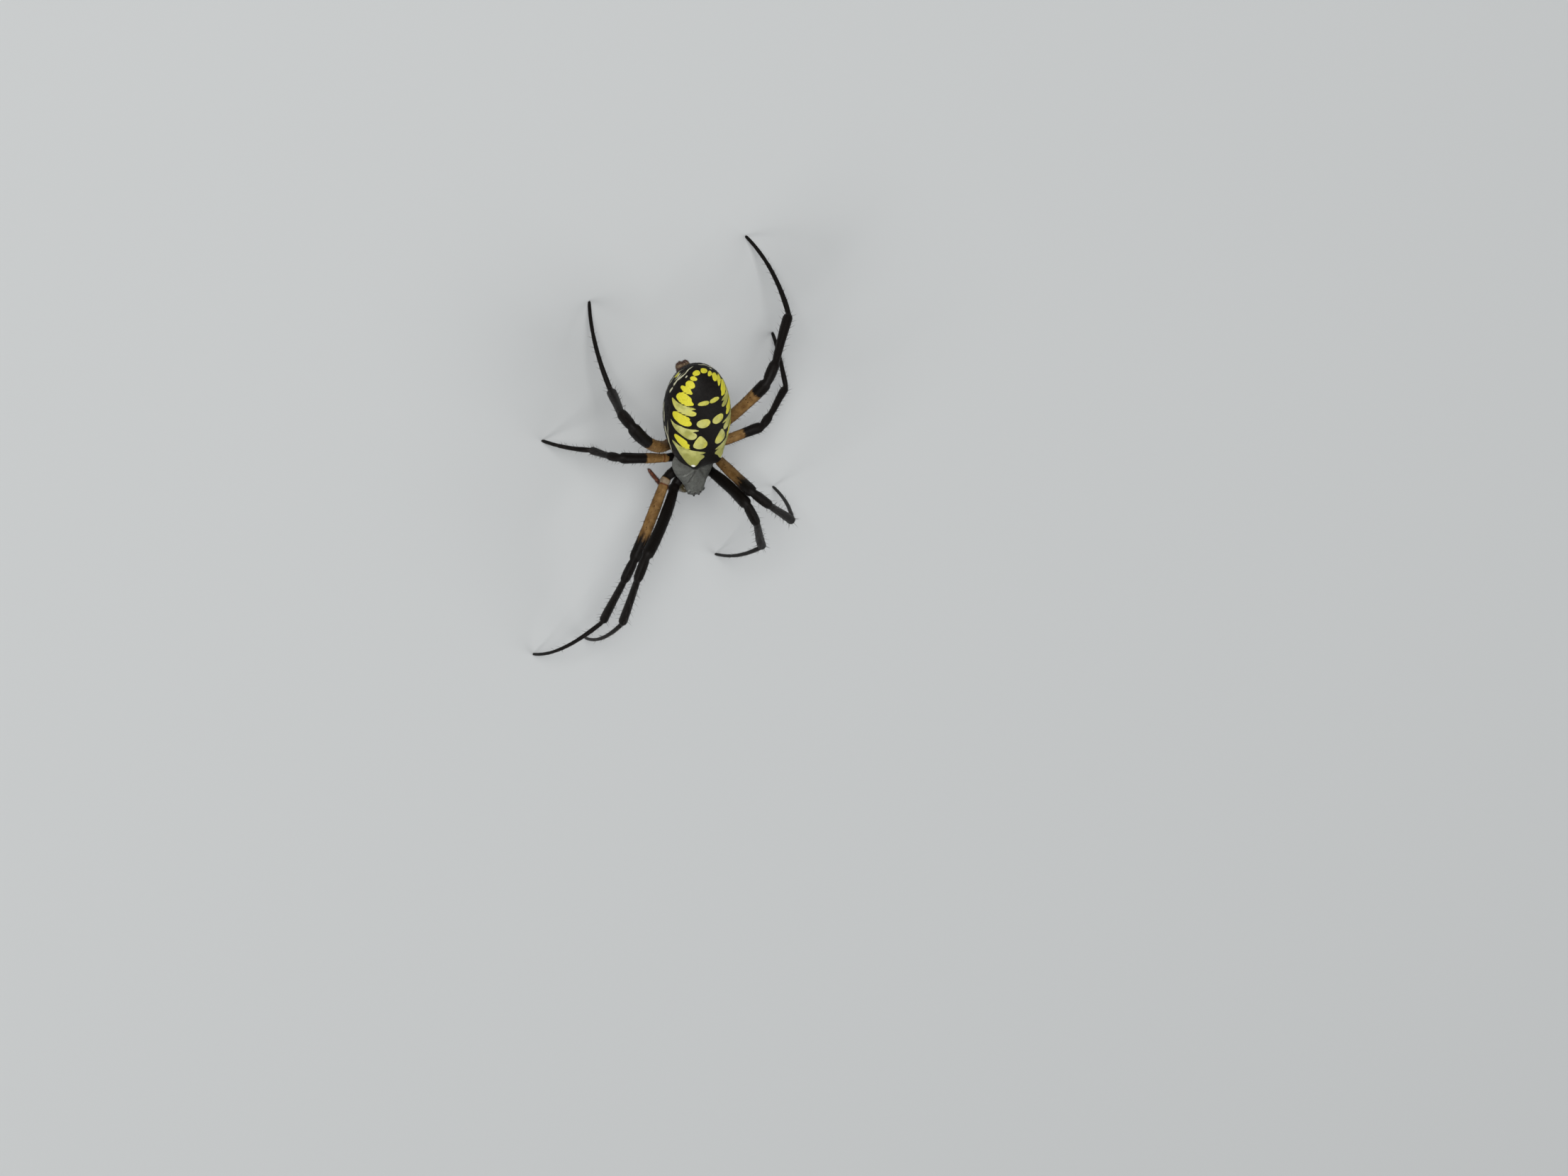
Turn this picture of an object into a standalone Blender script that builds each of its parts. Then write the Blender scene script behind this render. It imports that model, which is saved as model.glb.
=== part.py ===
"""Garden spider (Argiope), adult female, life size, standing as it holds its web.

Millimetres are turned into metres by MM. The floor is z = 0 and the head looks to -Y.
The body keeps its own axes: +X is the spider's left, +Y the rear and +Z the back.
"""
import math

import bmesh
import bpy
from mathutils import Matrix, Vector
from mathutils.bvhtree import BVHTree

MM = 0.001

# ---------------------------------------------------------------- driving dimensions
GAP = 0.10                      # clearance between neighbouring solids
EYE_GAP = 0.03                  # between an eye and the head it stands on
FOOTPRINT_MIDDLE = (-3.17, -1.47)   # middle of the whole animal's box, seen from above

HIP_HEIGHT = 10.1               # level of the hips above the floor
BODY_PITCH = 2.0                # rear of the body raised, degrees
BODY_ROLL = 13.0                # back leaning to the spider's left, degrees

ABDOMEN_CENTRE = (0.21, 8.05, 15.60)
ABDOMEN_PITCH, ABDOMEN_YAW, ABDOMEN_ROLL = 12.0, 3.5, 13.0
ABDOMEN_LENGTH = 15.4
ABDOMEN_HALF_WIDTH = 4.68
ABDOMEN_BACK, ABDOMEN_BELLY = 3.8, 4.5      # height over and depth under its axis
ABDOMEN_BLUNT_FRONT, ABDOMEN_BLUNT_REAR = 0.74, 1.0
HUMP_ALONG, HUMP_ANGLE, HUMP_RISE = 0.19, 37.0, 0.60    # share of the length, degrees off the top
HUMP_SPREAD_ALONG, HUMP_SPREAD_ANGLE = 0.075, 17.0
HUMP_WAY = (0.25, -0.50, 0.83)              # the left one's

# Carapace: distance back, half width, top and under side at each station
CARAPACE = [(-4.98, 0.00, 1.28, 1.18), (-4.88, 0.80, 1.70, 0.78), (-4.50, 1.18, 1.95, 0.68),
            (-3.60, 1.50, 2.16, 0.70), (-2.70, 1.98, 2.28, 0.78), (-1.80, 2.62, 2.40, 0.84),
            (-0.80, 3.10, 2.40, 0.86), (0.20, 3.25, 2.16, 0.86), (1.20, 2.85, 1.68, 0.84),
            (2.10, 1.95, 1.16, 0.78), (2.60, 1.00, 0.98, 0.74), (2.75, 0.00, 0.86, 0.80)]
CARAPACE_EDGE = 1.02
CARAPACE_LENGTH = CARAPACE[-1][0] - CARAPACE[0][0]

# Sternum with the mouthparts in front of it, same columns
STERNUM = [(-3.65, 0.00, -0.30, -0.60), (-3.45, 0.45, 0.20, -1.05), (-2.60, 0.58, 0.48, -1.25),
           (-1.50, 1.00, 0.50, -1.35), (-0.50, 1.22, 0.50, -1.40), (0.50, 1.15, 0.50, -1.35),
           (1.40, 0.70, 0.45, -1.15), (2.00, 0.30, 0.30, -0.90), (2.15, 0.00, -0.10, -0.50)]
STERNUM_EDGE = -0.45

# Hips (trochanter ends) and inner ends of the coxae on the left side, in the body's axes
HIPS = {1: (2.50, -3.15, 0.05), 2: (3.60, -1.55, 0.10), 3: (3.50, 0.85, 0.10), 4: (2.80, 2.70, 0.10)}
COXA_ROOTS = {1: (1.12, -2.35, -0.25), 2: (1.50, -1.05, -0.30),
              3: (1.50, 0.50, -0.30), 4: (1.12, 1.90, -0.25)}
# How far a coxa that is swung out of line moves its hip
HIP_SWINGS = {"leg_1_left": (0.40, 0.55, 0.0), "leg_2_left": (0.45, 0.60, 0.0),
              "leg_1_right": (-0.15, -0.35, 0.0), "leg_2_right": (0.0, -0.55, 0.0)}

# Femur, patella and tibia together, metatarsus and tarsus together
LENGTHS = {1: (12.2, 13.1, 15.3), 2: (12.1, 12.7, 14.6), 3: (7.5, 6.8, 8.5), 4: (12.0, 10.1, 13.2)}
# Of the coxa and femur, of the patella and tibia, and of the foot
THICKNESS = {1: (0.96, 0.95, 0.92), 2: (0.95, 0.94, 0.92), 3: (0.86, 0.86, 1.05), 4: (1.0, 1.06, 1.06)}
PATELLA_SHARE = 0.30            # of the length from knee to metatarsus
PATELLA_ARCH = 0.24             # of the knee's whole bend, taken between patella and tibia
# Arch of a member in its middle: the direction it bulges in and by how much
FEMUR_BOW = {"leg_4_right": ((0.0, -1.0, 0.45), 1.30), "leg_4_left": ((0.0, -1.0, 1.0), 0.45),
             "leg_1_left": ((0.7, 0.7, -0.1), 0.20), "leg_1_right": ((0.9, -0.4, 0.3), 0.30)}
PLAIN_FEMUR_BOW = ((0.0, 0.0, 1.0), 0.10)
FOOT_BOW = {1: ((0.1, 0.0, 1.0), 0.7), 2: ((0.1, 0.0, 1.0), 1.0),
            3: ((0.0, 0.0, 1.0), 0.6), 4: ((1.1, 0.0, 1.0), 0.85),      # X towards its own side
            "leg_2_left": ((1.0, 0.0, 0.6), 0.55), "leg_1_right": ((0.1, 0.0, 1.0), 1.1),
            "leg_2_right": ((0.1, 0.0, 1.0), 1.9)}

# Stance in degrees: heading from straight ahead towards the leg's own side, and lift
# above level, of the femur and of the shin, then the heading of the foot
STANCE = {
    "leg_1_right": (48, 41, 14, -24, 19), "leg_2_right": (35, 20, 20, -26, 48),
    "leg_3_right": (106, 16, 73, -68, 89), "leg_4_right": (133, 39, 177, -81, 180),
    "leg_1_left": (62, 81, 21, -36, -26), "leg_2_left": (56, 81, 42, -32, 67),
    "leg_3_left": (102, -1, 129, -28, 176), "leg_4_left": (136, 24, 145, -29, -164)}

# Radii along each member, from its upper to its lower end
COXA_RADII = (0.55, 0.70, 0.78, 0.76)
FEMUR_RADII = (0.60, 0.77, 0.82, 0.80, 0.86, 0.72)
PATELLA_RADII = (0.66, 0.71, 0.58)
TIBIA_RADII = (0.56, 0.54, 0.58, 0.64, 0.68)
FOOT_RADII = (0.46, 0.38, 0.34, 0.31, 0.30, 0.29, 0.28, 0.27, 0.26, 0.25)
TIP_RADIUS = 0.25               # no member is thinner
LIMB_SPARE = 1.2                # a limb is made this much too long, then cut at its joints
BLUNT_CORNER = 1.08             # of a bent joint, in radii from its middle

# Palp on the left side, through its joints, and its radii
PALP_PATH = [(1.05, -3.15, -1.50), (1.75, -4.35, -1.55), (2.80, -4.60, -1.65),
             (3.70, -3.70, -1.75), (4.50, -2.40, -1.85), (5.30, -1.05, -1.95)]
PALP_RADII = (0.30, 0.36, 0.36, 0.34, 0.34, 0.26)
CHELICERA_PATH = [(0.80, -4.10, 0.40), (0.82, -4.30, 0.05), (0.84, -4.45, -0.45),
                  (0.80, -4.58, -1.05), (0.66, -4.68, -1.60), (0.56, -4.72, -1.95)]
CHELICERA_RADII = (0.48, 0.70, 0.74, 0.68, 0.50, 0.26)

# Eyes on one side: distance from the middle of the point looked out from, heading and
# lift of the look in degrees, radius
HEAD_MIDDLE = (-4.0, 1.3)       # distance back and height of the point between the eyes
EYE_SUNK = 0.35                 # share of an eye's radius cut off under it
EYES = {"eye_front_middle": (0.28, 5, 10, 0.16), "eye_rear_middle": (0.32, 8, 48, 0.15),
        "eye_front_side": (0.62, 42, 14, 0.13), "eye_rear_side": (0.66, 58, 38, 0.13)}

SPINNERET_ROOT, SPINNERET_TIP = (0.0, 5.68, -3.58), (0.0, 6.26, -4.04)
SPINNERET_RADII = (1.00, 0.98, 0.82, 0.46)
PEDICEL = [(0.0, 2.35, 0.05), (0.0, 2.75, 0.20), (0.0, 3.15, 0.55)]
PEDICEL_RADIUS = 0.32

# ---------------------------------------------------------------- materials
COLOURS = {
    "abdomen_yellow_black": ((0.30, 0.28, 0.03), 0.38, 0.0),
    "carapace_silver": ((0.23, 0.23, 0.21), 0.75, 0.0),
    "underside_brown": ((0.035, 0.024, 0.016), 0.50, 0.0),
    "jaw_olive": ((0.070, 0.052, 0.022), 0.40, 0.0),
    "palp_brown": ((0.055, 0.022, 0.014), 0.50, 0.0),
    "spinneret_tan": ((0.20, 0.11, 0.045), 0.50, 0.0),
    "eye_black": ((0.006, 0.006, 0.007), 0.08, 0.0),
    "hip_black": ((0.016, 0.013, 0.012), 0.45, 0.0),
    "femur_black": ((0.020, 0.015, 0.014), 0.40, 0.0),
    "femur_orange": ((0.28, 0.125, 0.035), 0.50, 0.0),
    "shin_black": ((0.012, 0.012, 0.014), 0.32, 0.0),
    "foot_black": ((0.013, 0.012, 0.013), 0.36, 0.0)}


def make_materials():
    """One Principled material for each finish."""
    made = {}
    for name, (colour, roughness, metallic) in COLOURS.items():
        material = bpy.data.materials.new(name)
        material.use_nodes = True
        shader = material.node_tree.nodes["Principled BSDF"]
        shader.inputs["Base Color"].default_value = (*colour, 1.0)
        shader.inputs["Roughness"].default_value = roughness
        shader.inputs["Metallic"].default_value = metallic
        material.diffuse_color = (*colour, 1.0)
        made[name] = material
    return made


# ---------------------------------------------------------------- shared geometry
def turned(pitch, yaw, roll):
    """Rotation of an axes frame: pitch about X, then yaw about Z, then roll about Y."""
    return (Matrix.Rotation(math.radians(roll), 4, "Y") @ Matrix.Rotation(math.radians(yaw), 4, "Z")
            @ Matrix.Rotation(math.radians(pitch), 4, "X"))


BODY_AXES = Matrix.Translation((0, 0, HIP_HEIGHT)) @ turned(BODY_PITCH, 0, BODY_ROLL)
ABDOMEN_AXES = Matrix.Translation(ABDOMEN_CENTRE) @ turned(ABDOMEN_PITCH, ABDOMEN_YAW, ABDOMEN_ROLL)


def heading_vector(heading, lift, side):
    """Unit vector from a heading (from -Y towards the leg's side) and a lift."""
    heading, lift = math.radians(heading), math.radians(lift)
    return Vector((side * math.sin(heading) * math.cos(lift),
                   -math.cos(heading) * math.cos(lift), math.sin(lift)))


def smooth_between(table, value, column):
    """Read a column of a table of stations along its first column, on a smooth curve."""
    rows = [row[0] for row in table]
    value = max(rows[0], min(rows[-1], value))
    i = max(k for k in range(len(rows) - 1) if rows[k] <= value)
    x0, x1 = rows[i], rows[i + 1]
    y0, y1 = table[i][column], table[i + 1][column]

    def slope(k):
        if k == 0 or k == len(rows) - 1:
            return (y1 - y0) / (x1 - x0)
        return (table[k + 1][column] - table[k - 1][column]) / (rows[k + 1] - rows[k - 1])
    t = (value - x0) / (x1 - x0)
    width = x1 - x0
    return ((2 * t**3 - 3 * t**2 + 1) * y0 + (t**3 - 2 * t**2 + t) * width * slope(i)
            + (3 * t**2 - 2 * t**3) * y1 + (t**3 - t**2) * width * slope(i + 1))


def finish(bm, name, axes, coat):
    """Put a shape made in millimetres into the scene, shaded smooth."""
    bm.normal_update()
    mesh = bpy.data.meshes.new(name)
    bm.to_mesh(mesh)
    bm.free()
    mesh.transform(Matrix.Scale(MM, 4) @ axes)
    mesh.shade_smooth()
    mesh.set_sharp_from_angle(angle=math.radians(40))
    mesh.materials.append(finishes[coat])
    piece = bpy.data.objects.new(name, mesh)
    spider.objects.link(piece)
    piece.parent = stand
    return piece


def shaped_ball(name, sides, rings, section, axes, coat):
    """A ball whose rings are moved to the sections of the real shape, front pole first."""
    bm = bmesh.new()
    bmesh.ops.create_uvsphere(bm, u_segments=sides, v_segments=rings, radius=1.0)
    for vert in bm.verts:
        along = math.acos(max(-1.0, min(1.0, vert.co.z))) / math.pi
        vert.co = section(along, math.atan2(vert.co.x, vert.co.y))
    return finish(bm, name, axes, coat)


def plate_section(table, edge, squareness):
    """Section of a shield with its widest line at one height: carapace or sternum."""
    def section(along, angle):
        y = table[0][0] + (table[-1][0] - table[0][0]) * (1 - math.cos(math.pi * along)) / 2
        width, top, under = (smooth_between(table, y, column) for column in (1, 2, 3))
        middle = min(max(edge, under), top)
        up, out = math.cos(angle), math.sin(angle)
        reach = (top - middle) if up > 0 else (middle - under)
        x = max(0.0, width) * math.copysign(abs(out) ** squareness, out)
        return Vector((x, y, middle + reach * math.copysign(abs(up) ** squareness, up)))
    return section


def abdomen_section(along, angle):
    """Egg with a blunt front and two shoulder humps."""
    blunt = ABDOMEN_BLUNT_FRONT + (ABDOMEN_BLUNT_REAR - ABDOMEN_BLUNT_FRONT) * along
    fullness = max(0.0, math.sin(math.pi * along)) ** blunt
    back = ABDOMEN_BACK if math.cos(angle) > 0 else ABDOMEN_BELLY
    point = Vector((ABDOMEN_HALF_WIDTH * fullness * math.sin(angle),
                    -ABDOMEN_LENGTH / 2 * math.cos(math.pi * along), back * fullness * math.cos(angle)))
    for side in (-1, 1):
        away = ((along - HUMP_ALONG) / HUMP_SPREAD_ALONG) ** 2
        away += ((math.degrees(angle) - side * HUMP_ANGLE) / HUMP_SPREAD_ANGLE) ** 2
        point += Vector(HUMP_WAY) * Vector((side, 1, 1)) * (HUMP_RISE * math.exp(-away))
    return point


def clipped(bm, point, normal):
    """Cut a closed shape on a plane, drop the side the normal points to and close it."""
    bmesh.ops.bisect_plane(bm, geom=bm.verts[:] + bm.edges[:] + bm.faces[:], dist=1e-6,
                           plane_co=point, plane_no=normal, clear_outer=True)
    rim = [edge for edge in bm.edges if edge.is_boundary]
    if rim:
        bmesh.ops.holes_fill(bm, edges=rim, sides=0)


def tube(name, path, radii, coat, axes=None, cuts=()):
    """A tapering limb: a curve with a radius at each point, cut by planes at its ends."""
    path = [Vector(point) for point in path]
    radii = list(radii)
    if cuts:
        before = path[0] + (path[0] - path[1]).normalized() * LIMB_SPARE
        beyond = path[-1] + (path[-1] - path[-2]).normalized() * LIMB_SPARE
        path = [before, *path, beyond]
        radii = [radii[0], *radii, radii[-1]]
    curve = bpy.data.curves.new(name, "CURVE")
    curve.dimensions = "3D"
    curve.bevel_depth = 1.0
    curve.bevel_resolution = 3
    curve.use_fill_caps = True
    spline = curve.splines.new("POLY")
    spline.points.add(len(path) - 1)
    for knot, point, radius in zip(spline.points, path, radii):
        knot.co = (*point, 1.0)
        knot.radius = radius
    guide = bpy.data.objects.new(name + "_curve", curve)
    spider.objects.link(guide)
    bpy.context.view_layer.update()
    solid = bpy.data.meshes.new_from_object(guide.evaluated_get(bpy.context.evaluated_depsgraph_get()))
    bpy.data.objects.remove(guide)
    bpy.data.curves.remove(curve)
    bm = bmesh.new()
    bm.from_mesh(solid)
    bpy.data.meshes.remove(solid)
    bmesh.ops.remove_doubles(bm, verts=bm.verts, dist=1e-4)
    bmesh.ops.recalc_face_normals(bm, faces=bm.faces)
    for point, normal in cuts:
        clipped(bm, point, normal)
    return finish(bm, name, axes or Matrix.Identity(4), coat)


def resampled(path, count):
    """Evenly spaced points on a smooth curve through a few given points."""
    rows = [(k, *point) for k, point in enumerate(path)]
    at = [(len(path) - 1) * k / (count - 1) for k in range(count)]
    return [Vector([smooth_between(rows, value, column) for column in (1, 2, 3)]) for value in at]


def bowed(start, end, bulge, amount, count):
    """Points from start to end, arched in the middle by amount towards bulge."""
    along = (end - start).normalized()
    across = (Vector(bulge) - along * along.dot(bulge)).normalized() * amount
    shares = [k / (count - 1) for k in range(count)]
    return [start.lerp(end, t) + across * (4 * t * (1 - t)) for t in shares]


def joint_cuts(joint, before, after, radius):
    """Planes that part two members at their joint, and blunt the corner of a bent one."""
    across = (before + after).normalized()
    over = [(joint - across * GAP / 2, across)]
    under = [(joint + across * GAP / 2, -across)]
    corner = before - after
    if corner.length > 0.7:
        outward = corner.normalized()
        over.append((joint + outward * radius * BLUNT_CORNER, outward))
        under.append((joint + outward * radius * BLUNT_CORNER, outward))
    return over, under


# ---------------------------------------------------------------- the pieces
def leg_joints(number, side_name):
    """Points from the coxa's root to the toe, with the patella's two ends."""
    side = 1 if side_name == "left" else -1
    mirror = Vector((side, 1, 1))
    femur_length, shin_length, foot_length = LENGTHS[number]
    femur_heading, femur_lift, shin_heading, shin_lift, foot_heading = STANCE[f"leg_{number}_{side_name}"]
    root = BODY_AXES @ (Vector(COXA_ROOTS[number]) * mirror)
    swing = Vector(HIP_SWINGS.get(f"leg_{number}_{side_name}", (0.0, 0.0, 0.0)))
    hip = BODY_AXES @ ((Vector(HIPS[number]) + swing) * mirror)
    femur_way = heading_vector(femur_heading, femur_lift, side)
    knee = hip + femur_way * femur_length
    shin_way = heading_vector(shin_heading, shin_lift, side)
    ankle = knee + shin_way * shin_length
    foot_lift = -math.degrees(math.asin(ankle.z / foot_length))
    toe = ankle + heading_vector(foot_heading, foot_lift, side) * foot_length

    # The patella leaves the knee a little on the femur's side, so that the shin is arched
    turn = PATELLA_ARCH * femur_way.angle(shin_way) * (1 - PATELLA_SHARE)
    hinge = shin_way.cross(femur_way).normalized()
    patella_way = Matrix.Rotation(turn, 3, hinge) @ shin_way
    patella_end = knee + patella_way * (shin_length * PATELLA_SHARE)
    return root, hip, knee, patella_end, ankle, toe


def make_leg(number, side_name):
    """Coxa, femur, patella, tibia and foot of one leg, parted by cuts at its joints."""
    name = f"leg_{number}_{side_name}"
    mirror = Vector((1 if side_name == "left" else -1, 1, 1))
    root, hip, knee, patella_end, ankle, toe = leg_joints(number, side_name)
    femur_bulge, femur_bow = FEMUR_BOW.get(name, PLAIN_FEMUR_BOW)
    foot_bulge, foot_bow = FOOT_BOW.get(name, FOOT_BOW[number])
    thigh, shin, sole = THICKNESS[number]
    coxa_radii, femur_radii, patella_radii, tibia_radii, foot_radii = (
        [max(TIP_RADIUS, radius * thickness) for radius in radii]
        for radii, thickness in ((COXA_RADII, thigh), (FEMUR_RADII, thigh), (PATELLA_RADII, shin),
                                 (TIBIA_RADII, shin), (FOOT_RADII, sole)))
    members = [
        ("coxa", bowed(root, hip, Vector((0, 0, 1)), 0.0, len(COXA_RADII)), coxa_radii, "hip_black"),
        ("femur", bowed(hip, knee, Vector(femur_bulge), femur_bow, len(FEMUR_RADII)), femur_radii,
         "femur_black" if number == 1 else "femur_orange"),
        ("patella", bowed(knee, patella_end, Vector((0, 0, 1)), 0.0, 3), patella_radii, "shin_black"),
        ("tibia", bowed(patella_end, ankle, Vector((0, 0, 1)), 0.0, 5), tibia_radii, "shin_black"),
        ("foot", bowed(ankle, toe, Vector(foot_bulge) * mirror, foot_bow, len(FOOT_RADII)), foot_radii,
         "foot_black")]
    cuts = [[(root, (root - hip).normalized())]]
    for upper, lower in zip(members, members[1:]):
        before = (upper[1][-1] - upper[1][-2]).normalized()
        after = (lower[1][1] - lower[1][0]).normalized()
        over, under = joint_cuts(lower[1][0], before, after, upper[2][-1])
        cuts[-1] += over
        cuts.append(under)
    cuts[-1].append((Vector((0, 0, 0)), Vector((0, 0, -1))))
    for (member, path, radii, coat), planes in zip(members, cuts):
        tube(f"{name}_{member}", path, radii, coat, cuts=planes)


def make_mouthparts(side_name):
    """Chelicera and palp of one side."""
    mirror = Vector((1 if side_name == "left" else -1, 1, 1))
    jaw = [Vector(point) * mirror for point in CHELICERA_PATH]
    tube("chelicera_" + side_name, jaw, CHELICERA_RADII, "jaw_olive", BODY_AXES)
    palp = resampled([Vector(point) * mirror for point in PALP_PATH], 2 * len(PALP_PATH) - 1)
    stations = list(enumerate(PALP_RADII))
    radii = [smooth_between(stations, k / 2, 1) for k in range(len(palp))]
    tube("palp_" + side_name, palp, radii, "palp_brown", BODY_AXES)


def make_eye(kind, side_name, head):
    """A dome that stands on the front of the head, where its line of sight leaves the head."""
    out, heading, lift, radius = EYES[kind]
    side = 1 if side_name == "left" else -1
    look = (BODY_AXES.to_3x3() @ heading_vector(heading, lift, side)).normalized()
    inside = BODY_AXES @ Vector((side * out, *HEAD_MIDDLE))
    surface, normal, _, _ = head.ray_cast(inside + look * CARAPACE_LENGTH, -look)
    bm = bmesh.new()
    bmesh.ops.create_uvsphere(bm, u_segments=10, v_segments=8, radius=radius)
    clipped(bm, Vector((0, 0, -EYE_SUNK * radius)), Vector((0, 0, -1)))
    place = Matrix.Translation(surface + normal * (EYE_SUNK * radius + EYE_GAP))
    finish(bm, f"{kind}_{side_name}", place @ normal.to_track_quat("Z", "Y").to_matrix().to_4x4(),
           "eye_black")


def make_spider():
    """All pieces of the animal."""
    shaped_ball("abdomen", 28, 20, abdomen_section, ABDOMEN_AXES, "abdomen_yellow_black")
    carapace = shaped_ball("carapace", 24, 18, plate_section(CARAPACE, CARAPACE_EDGE, 0.85), BODY_AXES,
                           "carapace_silver")
    shaped_ball("sternum", 14, 12, plate_section(STERNUM, STERNUM_EDGE, 0.7), BODY_AXES, "underside_brown")
    tube("pedicel", PEDICEL, [PEDICEL_RADIUS] * len(PEDICEL), "underside_brown", BODY_AXES)
    spinnerets = bowed(Vector(SPINNERET_ROOT), Vector(SPINNERET_TIP), Vector((0, 0, 1)), 0.0,
                       len(SPINNERET_RADII))
    tube("spinnerets", spinnerets, SPINNERET_RADII, "spinneret_tan", ABDOMEN_AXES)
    corners = [vert.co / MM for vert in carapace.data.vertices]
    head = BVHTree.FromPolygons(corners, [face.vertices[:] for face in carapace.data.polygons])
    for side_name in ("right", "left"):
        make_mouthparts(side_name)
        for kind in EYES:
            make_eye(kind, side_name, head)
        for number in LENGTHS:
            make_leg(number, side_name)


for old in list(bpy.data.objects):
    bpy.data.objects.remove(old)
spider = bpy.data.collections.new("garden_spider")
bpy.context.scene.collection.children.link(spider)
stand = bpy.data.objects.new("spider_origin", None)
spider.objects.link(stand)
stand.location = (-FOOTPRINT_MIDDLE[0] * MM, -FOOTPRINT_MIDDLE[1] * MM, 0)
finishes = make_materials()
make_spider()
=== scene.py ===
"""A garden spider's looks: one skin over its solids, with eyes, claws, spines and hairs, on a pale floor."""

import math

import bpy
import numpy as np
from mathutils import Matrix, Vector
from mathutils.bvhtree import BVHTree
from mathutils.kdtree import KDTree


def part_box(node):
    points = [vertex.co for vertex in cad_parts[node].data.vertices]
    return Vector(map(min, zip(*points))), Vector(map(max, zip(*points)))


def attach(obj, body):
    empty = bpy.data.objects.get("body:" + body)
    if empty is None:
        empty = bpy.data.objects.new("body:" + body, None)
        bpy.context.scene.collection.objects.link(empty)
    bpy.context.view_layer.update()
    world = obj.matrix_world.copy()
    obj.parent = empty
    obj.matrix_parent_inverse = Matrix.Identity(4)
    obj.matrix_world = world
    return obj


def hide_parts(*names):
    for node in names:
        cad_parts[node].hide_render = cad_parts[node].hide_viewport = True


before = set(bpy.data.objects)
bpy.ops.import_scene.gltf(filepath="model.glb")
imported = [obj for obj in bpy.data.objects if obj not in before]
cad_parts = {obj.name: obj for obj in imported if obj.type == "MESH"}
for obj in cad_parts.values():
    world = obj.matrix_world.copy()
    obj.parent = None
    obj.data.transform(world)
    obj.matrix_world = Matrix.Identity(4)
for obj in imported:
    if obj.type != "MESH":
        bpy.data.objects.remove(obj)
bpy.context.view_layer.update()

random = np.random.default_rng(11)

# ---- dimensions, in millimetres and degrees
MM = 0.001                      # every piece is modelled in millimetres, then brought to metres
MERGE_DISTANCE = 0.002


def turned(pitch, yaw, roll):
    """Axes pitched about X, then yawed about Z, then rolled about Y."""
    return (Matrix.Rotation(math.radians(roll), 4, "Y") @ Matrix.Rotation(math.radians(yaw), 4, "Z")
            @ Matrix.Rotation(math.radians(pitch), 4, "X"))


def facing(azimuth, elevation):
    """The way to a viewer, with azimuth 0 in front of the head, and the level way to the viewer's right."""
    a, e = math.radians(azimuth), math.radians(elevation)
    back = Vector((math.sin(a) * math.cos(e), -math.cos(a) * math.cos(e), math.sin(e)))
    return back, Vector((math.cos(a), math.sin(a), 0))


BODY_FOOT = Vector((3.17, 1.47, 0))         # the floor's point under the head's and legs' axes
BODY_AXES = Matrix.Translation(BODY_FOOT + Vector((0, 0, 10.1))) @ turned(2, 0, 13)
ABDOMEN_AXES = Matrix.Translation(BODY_FOOT + Vector((0.21, 8.05, 15.60))) @ turned(12, 3.5, 13)
ABDOMEN_LENGTH, ABDOMEN_HALF_WIDTH = 15.4, 4.68
ABDOMEN_BACK, ABDOMEN_BELLY = 3.8, 4.5
ABDOMEN_FRONT_POWER, ABDOMEN_REAR_POWER = 0.74, 1.00    # the lower, the blunter the end
HUMP_ALONG, HUMP_AROUND = 0.19, 37.0
HUMP_REACH = (0.075, 17.0)
HUMP_LIFT = (0.15, -0.30, 0.50)
BACK_PITS = ((0.395, 13, 0.07), (0.545, 9, 0.05), (0.30, 9, 0.05))     # share along, degrees and depth
BACK_PIT_REACH = 0.16
BELLY_FOLD, BELLY_FOLD_REACH = 0.255, 0.012             # shares along
BELLY_FOLD_DEPTH = 0.12
LUNG_PLATE = (0.19, 152)        # share along and degrees
LUNG_PLATE_RADIUS, LUNG_PLATE_RIM, LUNG_PLATE_SLOPE = 1.3, 0.5, 0.10
WRINKLE_DEPTH, WRINKLE_TURN = 0.02, 95      # and radians of the waves from end to end
ABDOMEN_SEGMENTS, ABDOMEN_RINGS = 168, 116

COAT_DEPTH = 0.05               # the skin lies up to this far inside the solids
BODY_VOXEL = 0.10
CORE_SHARE = (0.86, 0.92, 0.92)  # of the hull around carapace and sternum that fills the flanks
CORE_MIDDLE = (0, -1.0, 0.6)    # the point it shrinks to, in the body's axes
MIDDLE_EYE_MOUND, SIDE_EYE_MOUND = 0.13, 0.20
MOUND_SHIFT = Vector((0, 0.10, -0.10))      # from the eye's middle
# Places and half sizes of the two endites and the lip
MOUTHPARTS = (((-0.50, -3.75, -0.85), (0.40, 0.62, 0.34)), ((0.50, -3.75, -0.85), (0.40, 0.62, 0.34)),
              ((0, -3.55, -0.95), (0.34, 0.40, 0.24)))
PIT_BACK = -0.50                # of the pit in the middle of the carapace, from the hips' middle
PIT_DEPTH, PIT_REACH = 0.16, (0.12, 0.42)   # and how far it reaches across and lengthwise
GROOVES = ((32, 0.11, 3.2), (66, 0.06, 2.6), (98, 0.06, 2.5), (130, 0.05, 2.0))    # degrees, depth and length
GROOVE_REACH = 0.16
GROOVE_TURN = math.radians(GROOVES[0][0])   # of the grooves that run forwards, which show dark
PEDICEL_ROUTE = ((0, 1.6, 0.6), (0, 2.4, 0.35), (0, 2.75, 0.30), (0, 3.15, 0.55), (0, 3.9, 1.1))
PEDICEL_RADII = (0.40, 0.34, 0.28, 0.30, 0.40)
LEGS = [f"leg_{number}_{side}" for number in (1, 2, 3, 4) for side in ("right", "left")]
MEMBERS = ("coxa", "femur", "patella", "tibia", "foot")
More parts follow.
